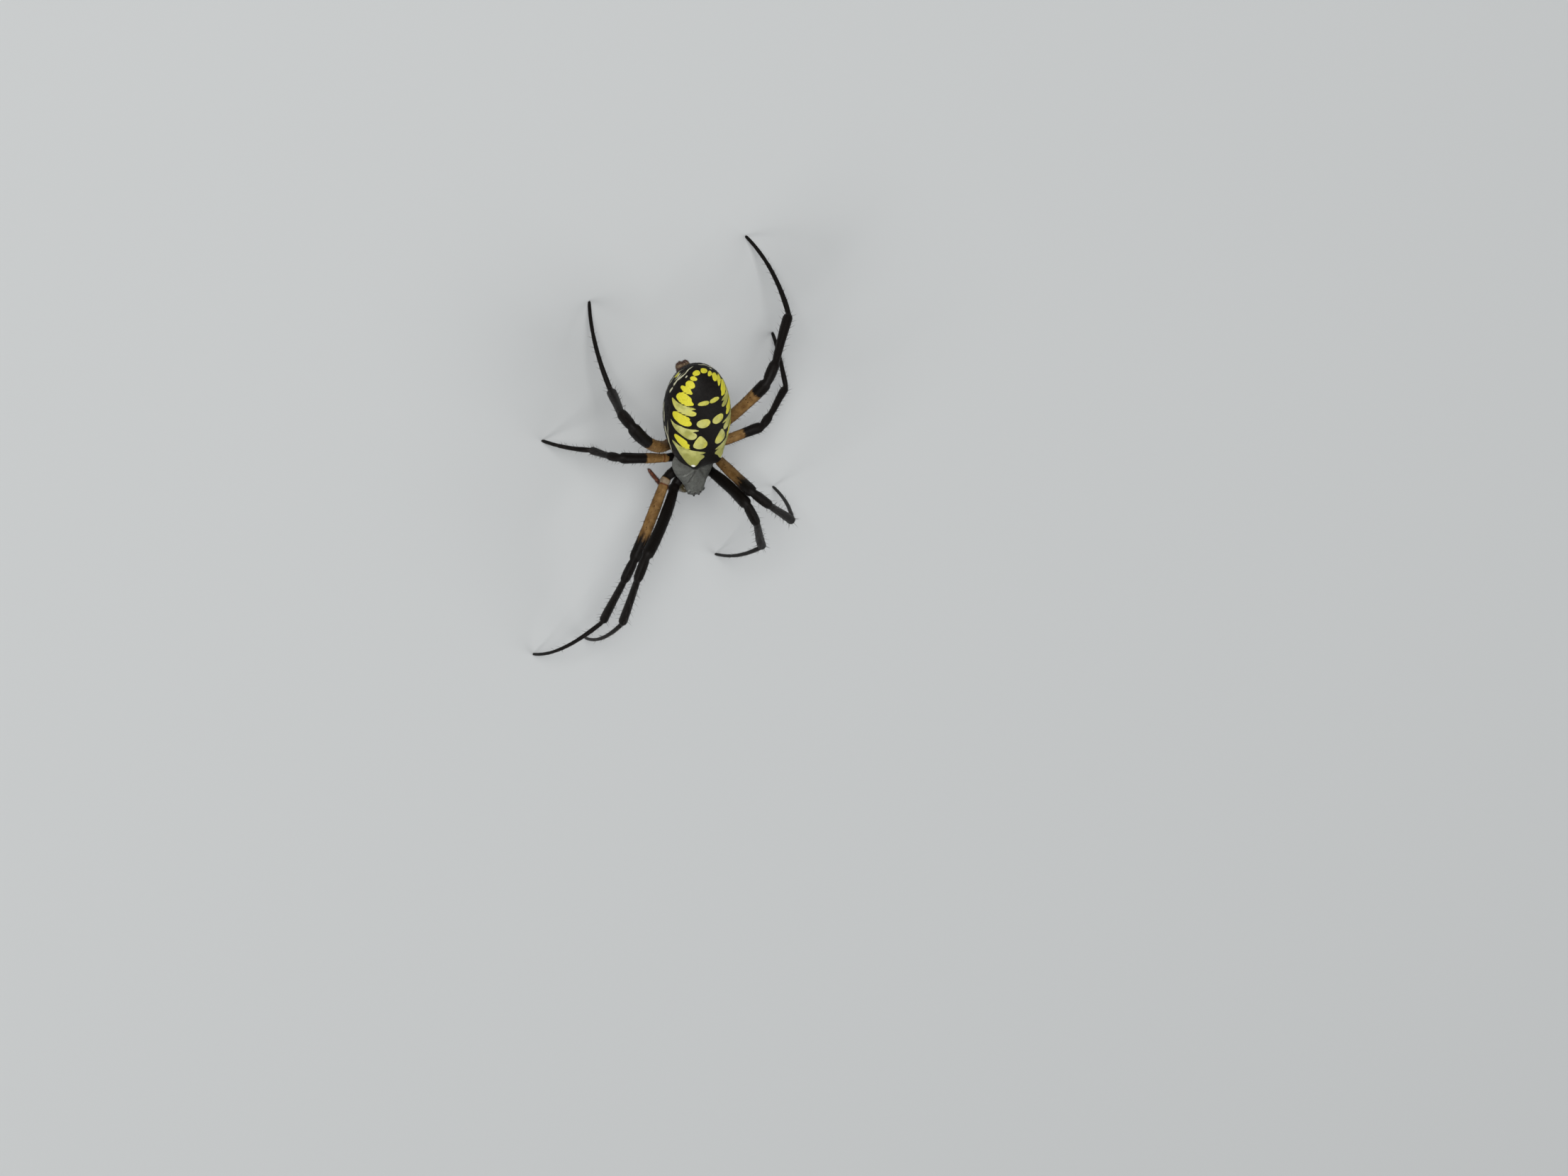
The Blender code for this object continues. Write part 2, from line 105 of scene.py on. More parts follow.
JOINT_GAP, SOLE_HEIGHT = 0.3, 0.02          # where solids count as facing, and a foot as touching the floor
LINE_STEP = 0.25                # between the rings of a limb
LIMB_SIDES = 20

# Share of each member's length where its solid is measured
STATIONS = {"coxa": (0.5,), "femur": (0.2, 0.4, 0.6, 0.8), "patella": (0.5,), "tibia": (0.25, 0.5, 0.75),
            "foot": (0.15, 0.3, 0.45, 0.6, 0.75, 0.88)}
# Outline of each member, as share of its length and of the solid's radius
OUTLINES = {
    "coxa": ((0, 0.80), (0.30, 1.00), (0.75, 1.00), (1, 0.80)),
    "femur": ((0, 0.84), (0.03, 1.02), (0.06, 1.02), (0.085, 0.80), (0.12, 0.96), (0.30, 1.02),
              (0.75, 1.02), (0.93, 1.04), (0.98, 1.00), (1, 0.74)),
    "patella": ((0, 0.72), (0.05, 0.90), (0.30, 1.03), (0.65, 1.04), (0.90, 0.98), (1, 0.82)),
    "tibia": ((0, 0.82), (0.05, 0.96), (0.25, 1.00), (0.85, 1.02), (0.95, 1.04), (0.99, 0.92), (1, 0.66)),
    "foot": ((0, 0.78), (0.02, 0.98), (0.35, 1.00), (0.62, 1.00), (0.645, 0.80), (0.67, 1.00),
             (0.90, 0.96), (0.975, 0.90), (1, 0.72))}
TOE_HEIGHT = 0.10

# Share of the femur that is orange, and the length over which the orange fades to black
ORANGE = {"leg_2_right": (0.71, 2.2), "leg_2_left": (0.72, 3.4), "leg_3_right": (0.47, 0.4),
          "leg_3_left": (0.63, 0.5), "leg_4_right": (0.63, 0.4), "leg_4_left": (0.82, 0.5)}
TROCHANTER_END = 0.085          # share of the femur

# Palp and jaw routes in the body's axes, for the left side, with their radii
PALP_ROUTE = ((0.45, -2.30, -0.20), (1.05, -3.15, -1.40), (1.75, -4.35, -1.55), (2.80, -4.60, -1.65),
              (3.70, -3.70, -1.75), (4.50, -2.40, -1.85), (5.30, -1.05, -1.95))
PALP_RADII = (0.26, 0.28, 0.33, 0.33, 0.31, 0.31, 0.22)
PALP_JOINTS = (0.24, 0.48, 0.61, 0.78)      # shares of its length
PALP_PINCH, PALP_JOINT_REACH = 0.28, 0.018  # share of its radius lost at a joint, and of its length
ROUTE_STEPS = 60
JAW_ROUTE = ((0.80, -4.10, 0.40), (0.82, -4.30, 0.05), (0.84, -4.45, -0.45), (0.80, -4.58, -1.05),
             (0.66, -4.68, -1.60), (0.56, -4.72, -1.90))
JAW_RADII = (0.44, 0.66, 0.70, 0.64, 0.46, 0.22)

# The abdomen's patches on one side. First how pale each is: 0 is bright, 1 pale and 2 cream. Then its
# outline: a share of the abdomen's length from the front, degrees from the back's midline, and so on in turn.
PATCHES = (
    (0.85, (.417, 81, .385, 71, .297, 62, .227, 53, .218, 40, .236, 28, .265, 22, .286, 12, .306, 13,
            .320, 26, .325, 10, .335, 12, .355, 31, .375, 48, .390, 62, .412, 71)),
    (0.00, (.466, 71, .470, 63, .431, 43, .413, 46, .405, 39, .388, 43, .373, 38, .380, 51, .410, 61,
            .437, 68)),
    (0.75, (.568, 83, .537, 72, .530, 58, .515, 45, .506, 23, .497, 23, .499, 42, .482, 26, .450, 27,
            .440, 39, .474, 54, .505, 69)),
    (0.00, (.604, 76, .614, 66, .601, 53, .582, 37, .566, 40, .555, 35, .534, 35, .533, 48, .554, 63,
            .577, 73)),
    (0.60, (.688, 88, .680, 77, .666, 61, .657, 52, .643, 28, .635, 28, .638, 44, .618, 27, .601, 26,
            .593, 34, .608, 49, .626, 68, .656, 79)),
    (0.00, (.735, 68, .741, 58, .733, 50, .708, 36, .688, 37, .664, 29, .660, 43, .674, 58, .693, 72,
            .716, 75)),
    (0.10, (.788, 68, .784, 56, .775, 44, .757, 39, .730, 33, .740, 48, .758, 65, .775, 72)),
    (0.00, (.815, 61, .830, 53, .831, 43, .820, 34, .795, 29, .777, 31, .774, 40, .789, 55)),
    (0.15, (.860, 52, .871, 42, .862, 29, .845, 21, .830, 27, .838, 45)),
    (0.00, (.898, 48, .921, 39, .928, 20, .914, 5, .890, 4, .874, 19, .877, 38)),
    (0.55, (.548, 27, .567, 21, .566, 9, .551, 2, .526, 3, .511, 13, .524, 24)),
    (0.60, (.402, 34, .438, 28, .470, 21, .442, 14, .405, 7, .373, 10, .366, 22, .382, 32)),
    (0.45, (.671, 24, .682, 13, .674, 1, .655, 1, .652, 12, .658, 23)),
    (0.20, (.840, 115, .805, 112, .785, 117, .805, 123, .835, 122)),
    (2.00, (.960, 112, .922, 92, .891, 85, .862, 84, .823, 90, .788, 97, .823, 95, .862, 89, .889, 90,
            .915, 98, .950, 116)),
    (2.00, (.850, 108, .816, 104, .793, 104, .816, 109, .848, 113)),
    (2.00, (.777, 96, .755, 97, .752, 101, .776, 100)),
    (2.00, (.738, 95, .712, 97, .690, 100, .716, 102, .738, 99)),
    (2.00, (.872, 67, .858, 65, .846, 69, .860, 72)),
    (2.00, (.605, 114, .555, 104, .500, 100, .495, 104, .550, 109, .595, 118)),
    (2.00, (.475, 99, .430, 94, .390, 90, .330, 91, .270, 93, .330, 95, .390, 95, .430, 99, .470, 104)),
    (1.50, (.270, 158, .290, 166, .420, 168, .580, 167, .700, 162, .710, 157, .580, 157, .420, 155)),
    (1.50, (.380, 176, .410, 174, .430, 176, .410, 179)),
    (1.50, (.520, 176, .550, 174, .570, 176, .550, 179)),
    (1.50, (.660, 175, .690, 173, .710, 175, .690, 178)))
HUMP_TIP = (0.222, 40)          # the white point, in the patches' measures

SPINNERET_ROOT, SPINNERET_TIP = Vector((0, 5.68, -3.58)), Vector((0, 6.26, -4.04))  # in the abdomen's axes
# Each pair's places across and up, radius and length, and the mound's, which has no pair
SPINNERETS = ((0.50, -0.36, 0.42, 0.70), (0.48, 0.32, 0.40, 0.74), (0.15, 0, 0.20, 0.58),
              (0, 0.70, 0.28, 0.42))
COLLAR_REACHES, COLLAR_RADII = (-0.9, -0.3, 0.00, 0.20, 0.26), (0.90, 1.02, 0.98, 0.84, 0.60)
SPINNERET_LEAN = 0.72           # share of its place across and up that a tip keeps
SPINNERET_OUTLINE = ((0, 1), (0.35, 1), (0.50, 0.96), (0.56, 0.80), (0.62, 0.86), (0.85, 0.66), (0.97, 0.40),
                     (1, 0.15))

# Each coat's strands: how many, how long and thick, degrees off the skin, and bend, below zero towards it
COATS = {
    "abdomen_hair": (17000, (0.14, 0.28), 0.009, (12, 40), -0.10),
    "carapace_hair": (38000, (0.20, 0.34), 0.017, (6, 20), -0.08),
    "underside_hair": (3000, (0.20, 0.40), 0.014, (25, 55), -0.10),
    "leg_hair": (38000, (0.12, 0.26), 0.012, (12, 38), -0.06),
    "palp_hair": (1400, (0.20, 0.36), 0.015, (25, 55), -0.06),
    "jaw_hair": (700, (0.12, 0.30), 0.010, (20, 55), -0.06),
    "spinneret_hair": (900, (0.16, 0.28), 0.014, (20, 50), -0.06)}
STRAND_SIDES, STRAND_RINGS, STRAND_STRAY = 3, 1, 0.22
STRAND_SUNK, STRAND_TAPER = 0.04, 0.8       # share of its length in the skin, and the lower, the blunter
CARAPACE_HAIR_FROM, UNDERSIDE_HAIR_TO = 1.12, 1.05      # heights in the body's axes
# Spines of each member: shares of its length, degrees from its top, length of the longest
SPINES = {
    "femur": ((0.20, 0.31, 0.42, 0.53, 0.64, 0.75, 0.86, 0.95), (-80, -20, 35, 90), 0.85),
    "patella": ((0.20, 0.50, 0.85), (-80, 0, 80), 0.85),
    "tibia": ((0.08, 0.21, 0.34, 0.47, 0.60, 0.73, 0.86, 0.95), (-110, -50, 10, 60, 115), 0.95),
    "foot": ((0.05, 0.14, 0.23, 0.32, 0.41, 0.50, 0.59), (-100, 20, 110), 0.75)}
SPINE_RADIUS = 0.028
SPINE_RISE, SPINE_BEND = (45, 72), 0.14     # degrees off the leg, and bend along it
SPINE_SHIFT, SPINE_TURN = 0.05, 14          # out of its row, as share of a member and in degrees
SHORTEST_SPINE, THIRD_LEG_SPINE = 0.72, 0.8     # shares of the longest
SPINE_SIDES, SPINE_RINGS = 6, 4
CLAWS = ((-0.30, 0.26), (0.30, 0.26), (0, 0.15))        # spread to the side, and length
CLAW_RISE, CLAW_CURL, CLAW_RADIUS = 0.42, 0.62, 0.035
# The left fang's root, its way and the way it curls, in the body's axes
FANG_ROOT, FANG_WAY, FANG_CURL = (0.58, -4.70, -1.82), (-0.75, 0.35, -0.55), (0, 0.7, 0.1)
FANG_LENGTH, FANG_RADIUS = 0.62, 0.10
PATCH_SIZE = 0.003              # of a strand on the coat's map
LIMB_MAP_LENGTH = 45            # of a limb that would fill the map

# ---- modelling by hand
def pick(*objects):
    """Selects only these objects, the first one active."""
    bpy.ops.object.select_all(action="DESELECT")
    for obj in objects:
        obj.select_set(True)
    bpy.context.view_layer.objects.active = objects[0]


def join(objects, name):
    """One object of several."""
    pick(*objects)
    bpy.ops.object.join()
    objects[0].name = name
    return objects[0]


def clean(obj):
    """Merges an object's doubled points and turns its faces outwards."""
    pick(obj)
    bpy.ops.object.mode_set(mode="EDIT")
    bpy.ops.mesh.select_all(action="SELECT")
    bpy.ops.mesh.remove_doubles(threshold=MERGE_DISTANCE)
    bpy.ops.mesh.normals_make_consistent(inside=False)
    bpy.ops.object.mode_set(mode="OBJECT")
    return obj


def apply(obj, kind, **settings):
    """Adds a modifier and applies it."""
    modifier = obj.modifiers.new(kind, kind)
    for setting, value in settings.items():
        setattr(modifier, setting, value)
    pick(obj)
    bpy.ops.object.modifier_apply(modifier=modifier.name)


def read(elements, name, kind, size):
    """A value of all elements of a mesh, as an array of rows so many numbers long."""
    numbers = np.empty(len(elements) * size, kind)
    elements.foreach_get(name, numbers)
    return numbers.reshape(-1, size)


def points_of(obj):
    """An object's points as an array."""
    return read(obj.data.vertices, "co", np.float32, 3).astype(float)


def move_points(obj, points):
    """Puts an object's points where an array says."""
    obj.data.vertices.foreach_set("co", np.asarray(points, np.float32).ravel())
    obj.data.update()


def in_axes(points, axes):
    """Points given in the frame, as the axes see them."""
    inverse = np.array(axes.inverted())
    return points @ inverse[:3, :3].T + inverse[:3, 3]


def from_axes(points, axes):
    """Points given in the axes, as the frame sees them."""
    matrix = np.array(axes)
    return points @ matrix[:3, :3].T + matrix[:3, 3]


def unit(vectors):
    """Vectors at length one."""
    return vectors / np.maximum(np.linalg.norm(vectors, axis=-1, keepdims=True), 1e-9)


def copy_of(node):
    """A merged copy of a solid, in millimetres, to model from."""
    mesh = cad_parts[node].data.copy()
    mesh.transform(Matrix.Scale(1 / MM, 4))
    mesh.materials.clear()
    obj = bpy.data.objects.new(node + "_copy", mesh)
    bpy.context.collection.objects.link(obj)
    return clean(obj)


def ball(name, centre, sizes, axes, segments=24, rings=16):
    """A UV sphere with a half size along each of the axes."""
    bpy.ops.mesh.primitive_uv_sphere_add(segments=segments, ring_count=rings, radius=1)
    obj = bpy.context.active_object
    obj.name = name
    obj.data.transform(axes @ Matrix.Translation(centre) @ Matrix.Diagonal((*sizes, 1)))
    return obj


def tube(name, points, radii, sides=LIMB_SIDES):
    """A tapering limb: a round bevel along a line, closed at both ends."""
    curve = bpy.data.curves.new(name, "CURVE")
    curve.dimensions = "3D"
    curve.bevel_depth = 1.0
    curve.bevel_resolution = (sides - 4) // 2
    curve.use_fill_caps = True
    spline = curve.splines.new("POLY")
    spline.points.add(len(points) - 1)
    for knot, point, radius in zip(spline.points, points, radii):
        knot.co = (*point, 1.0)
        knot.radius = radius
    obj = bpy.data.objects.new(name, curve)
    bpy.context.collection.objects.link(obj)
    pick(obj)
    bpy.ops.object.convert(target="MESH")
    return clean(bpy.context.active_object)


def finished(piece, material=None):
    """Brings a piece to metres, smooth and riding on the body."""
    piece.data.transform(Matrix.Scale(MM, 4))
    piece.data.shade_smooth()
    if material:
        piece.data.materials.clear()
        piece.data.materials.append(material)
    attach(piece, "root")
    return piece


# ---- limbs
def corners_of(node):
    """The corners of a solid's triangles, in millimetres: triangles by three by three."""
    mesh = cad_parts[node].data
    points = np.array([vert.co for vert in mesh.vertices]) / MM
    return points[np.array([face.vertices[:] for face in mesh.polygons])]


def section(corners, point, way):
    """Centre and mean radius of the cut that a plane makes through a solid."""
    heights = (corners - point) @ way
    cuts = []
    for a, b in ((0, 1), (1, 2), (2, 0)):
        crossed = heights[:, a] * heights[:, b] < 0
        share = heights[crossed, a] / (heights[crossed, a] - heights[crossed, b])
        cuts.append(corners[crossed, a] + share[:, None] * (corners[crossed, b] - corners[crossed, a]))
    cuts = np.concatenate(cuts)
    centre = cuts.mean(0)
    return centre, np.linalg.norm(cuts - centre, axis=1).mean()


def meeting(above, below):
    """The middle of the joint where two solids face each other."""
    surface = BVHTree.FromPolygons(below.reshape(-1, 3).tolist(),
                                   np.arange(len(below) * 3).reshape(-1, 3).tolist())
    near = [corner for corner in above.reshape(-1, 3) if surface.find_nearest(Vector(corner))[3] < JOINT_GAP]
    return np.mean(near, axis=0)


def run_of(points):
    """Distance along a line of points."""
    return np.concatenate([[0], np.cumsum(np.linalg.norm(np.diff(points, axis=0), axis=1))])


class Limb:
    """A limb's middle line, from its root to its tip, with the skin's radius along it.

    places runs by one from each joint to the next."""

    orange_run, fade, hip_run, number = -5.0, 0.3, 0.0, 0   # no orange, as on palps, jaws and front legs

    def __init__(self, name, points, radii, places):
        self.name = name
        self.points, self.radii, self.places = points, radii, places
        self.run = run_of(points)
        self.ways = unit(np.gradient(points, axis=0))
        self.sides = unit(np.cross(self.ways, (0, 0, 1)))
        self.tops = np.cross(self.sides, self.ways)

    def at(self, place, around):
        """Surface point, outward way and lengthwise way at a place and an angle from the top."""
        station = np.interp(place, self.places, np.arange(len(self.places)))
        lower = int(min(station, len(self.places) - 2))
        share = station - lower
        centre = self.points[lower] * (1 - share) + self.points[lower + 1] * share
        radius = self.radii[lower] * (1 - share) + self.radii[lower + 1] * share
        out = self.tops[lower] * math.cos(around) + self.sides[lower] * math.sin(around)
        return centre + out * radius, out, self.ways[lower]


def eased(values, passes):
    """Numbers or points in a row, each drawn towards its neighbours, with the ends kept."""
    for _ in range(passes):
        values = np.concatenate([values[:1], (values[:-2] + 2 * values[1:-1] + values[2:]) / 4, values[-1:]])
    return values


def trace_leg(name):
    """A leg's line, measured through the middles of its solids."""
    solids = [corners_of(f"{name}_{member}") for member in MEMBERS]
    joints = [(meeting(above, below) + meeting(below, above)) / 2 for above, below in zip(solids, solids[1:])]
    coxa = solids[0].reshape(-1, 3)
    inward = unit(coxa.mean(0) - joints[0])
    root = joints[0] + inward * ((coxa - joints[0]) @ inward).max()
    foot = solids[-1].reshape(-1, 3)
    toe = foot[foot[:, 2] < SOLE_HEIGHT].mean(0) + (0, 0, TOE_HEIGHT)
    ends = [root, *joints, toe]
    points, radii, places = [], [], []
    for index, (member, corners) in enumerate(zip(MEMBERS, solids)):
        start, end = ends[index], ends[index + 1]
        way = unit(end - start)
        shares = STATIONS[member]
        cuts = [section(corners, start + (end - start) * share, way) for share in shares]
        knots = np.array([start, *[centre for centre, _ in cuts], end])
        curve = np.polyfit((0, *shares, 1), knots, min(3, len(shares)))
        steps = max(3, round(np.linalg.norm(end - start) / LINE_STEP))
        share = np.arange(steps + (member == "foot")) / steps
        points.append(sum(term * share[:, None] ** power for power, term in enumerate(curve[::-1])))
        solid_radius = np.interp(share, shares, [radius for _, radius in cuts])
        radii.append(solid_radius * np.interp(share, *np.transpose(OUTLINES[member])) - COAT_DEPTH / 2)
        places.append(index + share)
    points, radii, places = (np.concatenate(values) for values in (points, radii, places))
    points = eased(points, 3)
    radii = eased(radii, 1)
    ways = unit(np.gradient(points, axis=0))
    low = radii * np.sqrt(1 - ways[:, 2] ** 2) + 0.01
    points[:, 2] = np.maximum(points[:, 2], low)
    limb = Limb(name, points, radii, places)
    if name in ORANGE:
        orange_share, limb.fade = ORANGE[name]
        limb.orange_run = np.interp(1 + orange_share, places, limb.run)
    limb.hip_run = np.interp(1 + TROCHANTER_END, places, limb.run)
    limb.number = LEGS.index(name)
    return limb


def trace_route(name, route, radii, side, joints=()):
    """A limb's line along a route in the body's axes, narrowed at its joints."""
    knots = np.array(route) * (side, 1, 1)
    run = run_of(knots) / run_of(knots)[-1]
    share = np.linspace(0, 1, ROUTE_STEPS)
    points = np.stack([np.interp(share, run, knots[:, axis]) for axis in range(3)], 1)
    points = from_axes(eased(points, 20), BODY_AXES)
    radius = eased(np.interp(share, run, radii), 6)
    for joint in joints:
        radius = radius * (1 - PALP_PINCH * np.exp(-((share - joint) / PALP_JOINT_REACH) ** 2))
    radius[[0, -1]] *= 0.35
    radius[[1, -2]] *= 0.80
    return Limb(name, points, radius, share)


# ---- the skin's parts
def hump_lift(along, around):
    """How far the two front humps push the abdomen's surface out, with the angle in degrees."""
    lift = np.zeros((*np.shape(along), 3))
    for side in (-1, 1):
        away = (along - HUMP_ALONG) / HUMP_REACH[0]
        aside = (around - side * HUMP_AROUND) / HUMP_REACH[1]
        lift += np.exp(-(away ** 2 + aside ** 2))[..., None] * (np.array(HUMP_LIFT) * (side, 1, 1))
    return lift


def abdomen_point(along, around):
    """Surface point of the abdomen in its axes: share of its length, degrees from the back's midline."""
    along, around = np.broadcast_arrays(np.asarray(along, float), np.asarray(around, float))
    angle = np.radians(around)
    power = ABDOMEN_FRONT_POWER + (ABDOMEN_REAR_POWER - ABDOMEN_FRONT_POWER) * along
    full = np.maximum(np.sin(math.pi * along), 0) ** power
    height = np.where(np.cos(angle) > 0, ABDOMEN_BACK, ABDOMEN_BELLY)
    point = np.stack([ABDOMEN_HALF_WIDTH * full * np.sin(angle),
                      -ABDOMEN_LENGTH / 2 * np.cos(math.pi * along),
                      height * full * np.cos(angle)], -1)
    return point + hump_lift(along, around)


def abdomen_place(points):
    """The share along and the degrees around of points near the abdomen's surface."""
    local = in_axes(points, ABDOMEN_AXES)
    flat = local
    for _ in range(6):
        along = np.arccos(np.clip(-2 * flat[:, 1] / ABDOMEN_LENGTH, -1, 1)) / math.pi
        height = np.where(flat[:, 2] > 0, ABDOMEN_BACK, ABDOMEN_BELLY)
        around = np.degrees(np.arctan2(flat[:, 0] / ABDOMEN_HALF_WIDTH, flat[:, 2] / height))
        flat = local - hump_lift(along, around)
    return along, around


def make_abdomen():
    """The abdomen: a ball drawn out to shape, with pits on its back and plates and a fold on its belly."""
    obj = ball("abdomen_skin", (0, 0, 0), (1, 1, 1), Matrix.Identity(4), ABDOMEN_SEGMENTS, ABDOMEN_RINGS)
    round_points = points_of(obj)
    along = np.arccos(np.clip(-round_points[:, 2], -1, 1)) / math.pi
    around = np.degrees(np.arctan2(round_points[:, 0], round_points[:, 1]))
    points = abdomen_point(along, around)
    inward = np.full(len(points), COAT_DEPTH)
    for pit_along, pit_around, depth in BACK_PITS:
        for pit in abdomen_point(pit_along, [pit_around, -pit_around]):
            inward += depth * np.exp(-((np.linalg.norm(points - pit, axis=1) / BACK_PIT_REACH) ** 2))
    belly = np.clip((np.abs(around) - 120) / 25, 0, 1)
    inward += BELLY_FOLD_DEPTH * belly * np.exp(-((along - BELLY_FOLD) / BELLY_FOLD_REACH) ** 2)
    for side in (-1, 1):
        plate = np.linalg.norm(points - abdomen_point(LUNG_PLATE[0], side * LUNG_PLATE[1]), axis=1)
        inward -= LUNG_PLATE_SLOPE * np.clip(LUNG_PLATE_RADIUS - plate, 0, LUNG_PLATE_RIM)
    flank = np.clip((np.abs(around) - 60) / 30, 0, 1)
    inward += WRINKLE_DEPTH * np.sin(along * WRINKLE_TURN) * flank
    points -= unit(points * (1, 0.2, 1)) * inward[:, None]
    move_points(obj, from_axes(points, ABDOMEN_AXES))
    return clean(obj)


def make_body():
    """The head and thorax: carapace, sternum and flanks in one, with furrows, eye mounds and mouthparts."""
    shells = [copy_of("carapace"), copy_of("sternum")]
    core = join([copy_of("carapace"), copy_of("sternum")], "core")
    pick(core)
    bpy.ops.object.mode_set(mode="EDIT")
    bpy.ops.mesh.select_all(action="SELECT")
    bpy.ops.mesh.convex_hull()
    bpy.ops.object.mode_set(mode="OBJECT")
    middle = BODY_AXES @ Matrix.Translation(CORE_MIDDLE)
    core.data.transform(middle @ Matrix.Diagonal((*CORE_SHARE, 1)) @ middle.inverted())
    mounds = []
    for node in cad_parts:
        if node.startswith("eye_"):
            low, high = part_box(node)
            inside = BODY_AXES.inverted() @ ((low + high) / 2 / MM)
            reach = MIDDLE_EYE_MOUND if "middle" in node else SIDE_EYE_MOUND
            mounds.append(ball(node + "_mound", inside + MOUND_SHIFT, (reach,) * 3, BODY_AXES))
    mounds += [ball("mouthpart", place, sizes, BODY_AXES) for place, sizes in MOUTHPARTS]
    body = join([*shells, core, *mounds], "body_skin")
    apply(body, "REMESH", mode="VOXEL", voxel_size=BODY_VOXEL)
    apply(body, "SMOOTH", factor=0.5, iterations=4)
    points = in_axes(points_of(body), BODY_AXES)
    across, back = np.abs(points[:, 0]), points[:, 1] - PIT_BACK
    top = np.clip((points[:, 2] - 1.05) / 0.25, 0, 1)
    drop = PIT_DEPTH * np.exp(-((across / PIT_REACH[0]) ** 2 + (back / PIT_REACH[1]) ** 2))
    for angle, depth, far in GROOVES:
        way_across, way_back = math.sin(math.radians(angle)), -math.cos(math.radians(angle))
        forth = across * way_across + back * way_back
        off = across * way_back - back * way_across
        held = np.clip(forth / 0.8, 0, 1) * np.clip((far - forth) / 0.6, 0, 1)
        drop += depth * held * np.exp(-((off / GROOVE_REACH) ** 2))
    points[:, 2] -= drop * top
    move_points(body, from_axes(points, BODY_AXES))
    apply(body, "DISPLACE", strength=-COAT_DEPTH * 0.6, mid_level=0)
    return body


def make_spinnerets():
    """The six spinnerets and the anal mound in a low collar."""
    root = SPINNERET_ROOT
    way = (SPINNERET_TIP - SPINNERET_ROOT).normalized()
    across = Vector((1, 0, 0))
    over = across.cross(way)
    collar = [ABDOMEN_AXES @ (root + way * reach) for reach in COLLAR_REACHES]
    parts = [tube("collar", collar, COLLAR_RADII, 28)]
    for out, up, radius, length in SPINNERETS:
        for side in (-1, 1) if out else (1,):
            off = across * out * side + over * up
            base, end = root + off, root + off * SPINNERET_LEAN + way * length
            line = [ABDOMEN_AXES @ base.lerp(end, share) for share, _ in SPINNERET_OUTLINE]
            radii = [radius * size for _, size in SPINNERET_OUTLINE]
            parts.append(tube("spinneret", line, radii, 16))
    return parts


def make_skin(legs, palps, jaws, coats):
    """One closed skin of all flesh, each part with its own coat of colour."""
    pedicel = tube("pedicel_skin", [BODY_AXES @ Vector(point) for point in PEDICEL_ROUTE], PEDICEL_RADII)
    parts = [(make_abdomen(), "abdomen"), (pedicel, "body")]
    parts += [(part, "spinnerets") for part in make_spinnerets()]
    parts += [(tube(leg.name + "_skin", leg.points, leg.radii), "legs") for leg in legs]
    parts += [(tube(palp.name + "_skin", palp.points, palp.radii, 16), "palps") for palp in palps]
    parts += [(tube(jaw.name + "_skin", jaw.points, jaw.radii), "jaws") for jaw in jaws]
    body = make_body()
    shell = bpy.data.collections.new("skin_parts")
    bpy.context.scene.collection.children.link(shell)
    for obj, coat in [(body, "body"), *parts]:
        obj.data.materials.clear()
        obj.data.materials.append(coats[coat])
        for face in obj.data.polygons:
            face.material_index = 0
        if obj is not body:
            bpy.context.collection.objects.unlink(obj)
            shell.objects.link(obj)
    apply(body, "BOOLEAN", operation="UNION", solver="MANIFOLD", operand_type="COLLECTION", collection=shell,
          material_mode="TRANSFER")
    for obj, _ in parts:
        bpy.data.objects.remove(obj)
    bpy.data.collections.remove(shell)
    body.name = "skin"
    return body


# ---- markings, as values on the skin's points
def rounded(outline, passes=2):
    """A closed outline with its corners cut."""
    for _ in range(passes):
        following = np.roll(outline, -1, 0)
        outline = np.stack([0.75 * outline + 0.25 * following, 0.25 * outline + 0.75 * following], 1)
        outline = outline.reshape(-1, outline.shape[-1])
    return outline


def distance_to(points, corners):
    """Distance of points from a closed line through corners in space."""
    nearest = np.full(len(points), np.inf)
    for start, end in zip(corners, np.roll(corners, -1, 0)):
        side = end - start
        share = np.clip((points - start) @ side / (side @ side), 0, 1)
        nearest = np.minimum(nearest, np.linalg.norm(points - start - share[:, None] * side, axis=1))
    return nearest


def within(along, around, outline):
    """Which places lie inside a closed outline."""
    inside = np.zeros(len(along), bool)
    for (along_0, around_0), (along_1, around_1) in zip(outline, np.roll(outline, -1, 0)):
        if around_0 != around_1:
            share = (around - around_0) / (around_1 - around_0)
            crossed = (around_0 > around) != (around_1 > around)
            inside ^= crossed & (along < along_0 + share * (along_1 - along_0))
    return inside


def abdomen_marks(points):
    """Distance from the nearest patch's edge, less than zero inside, its paleness, and the place."""
    along, around = abdomen_place(points)
    local = abdomen_point(along, around)
    edge, pale = np.full(len(points), 9.0), np.zeros(len(points))
    for side in (1, -1):
        for paleness, outline in PATCHES:
            outline = rounded(np.reshape(outline, (-1, 2)))
            away = distance_to(local, abdomen_point(outline[:, 0], side * outline[:, 1]))
            signed = np.where(within(along, side * around, outline), -away, away)
            pale = np.where(signed < edge, paleness, pale)
            edge = np.minimum(edge, signed)
    tips = abdomen_point(HUMP_TIP[0], [HUMP_TIP[1], -HUMP_TIP[1]])
    tip = np.min([np.linalg.norm(local - point, axis=1) for point in tips], axis=0)
    return {"patch_edge": edge, "patch_pale": pale, "hump_tip": tip, "abdomen_along": along,
            "abdomen_around": np.abs(around)}


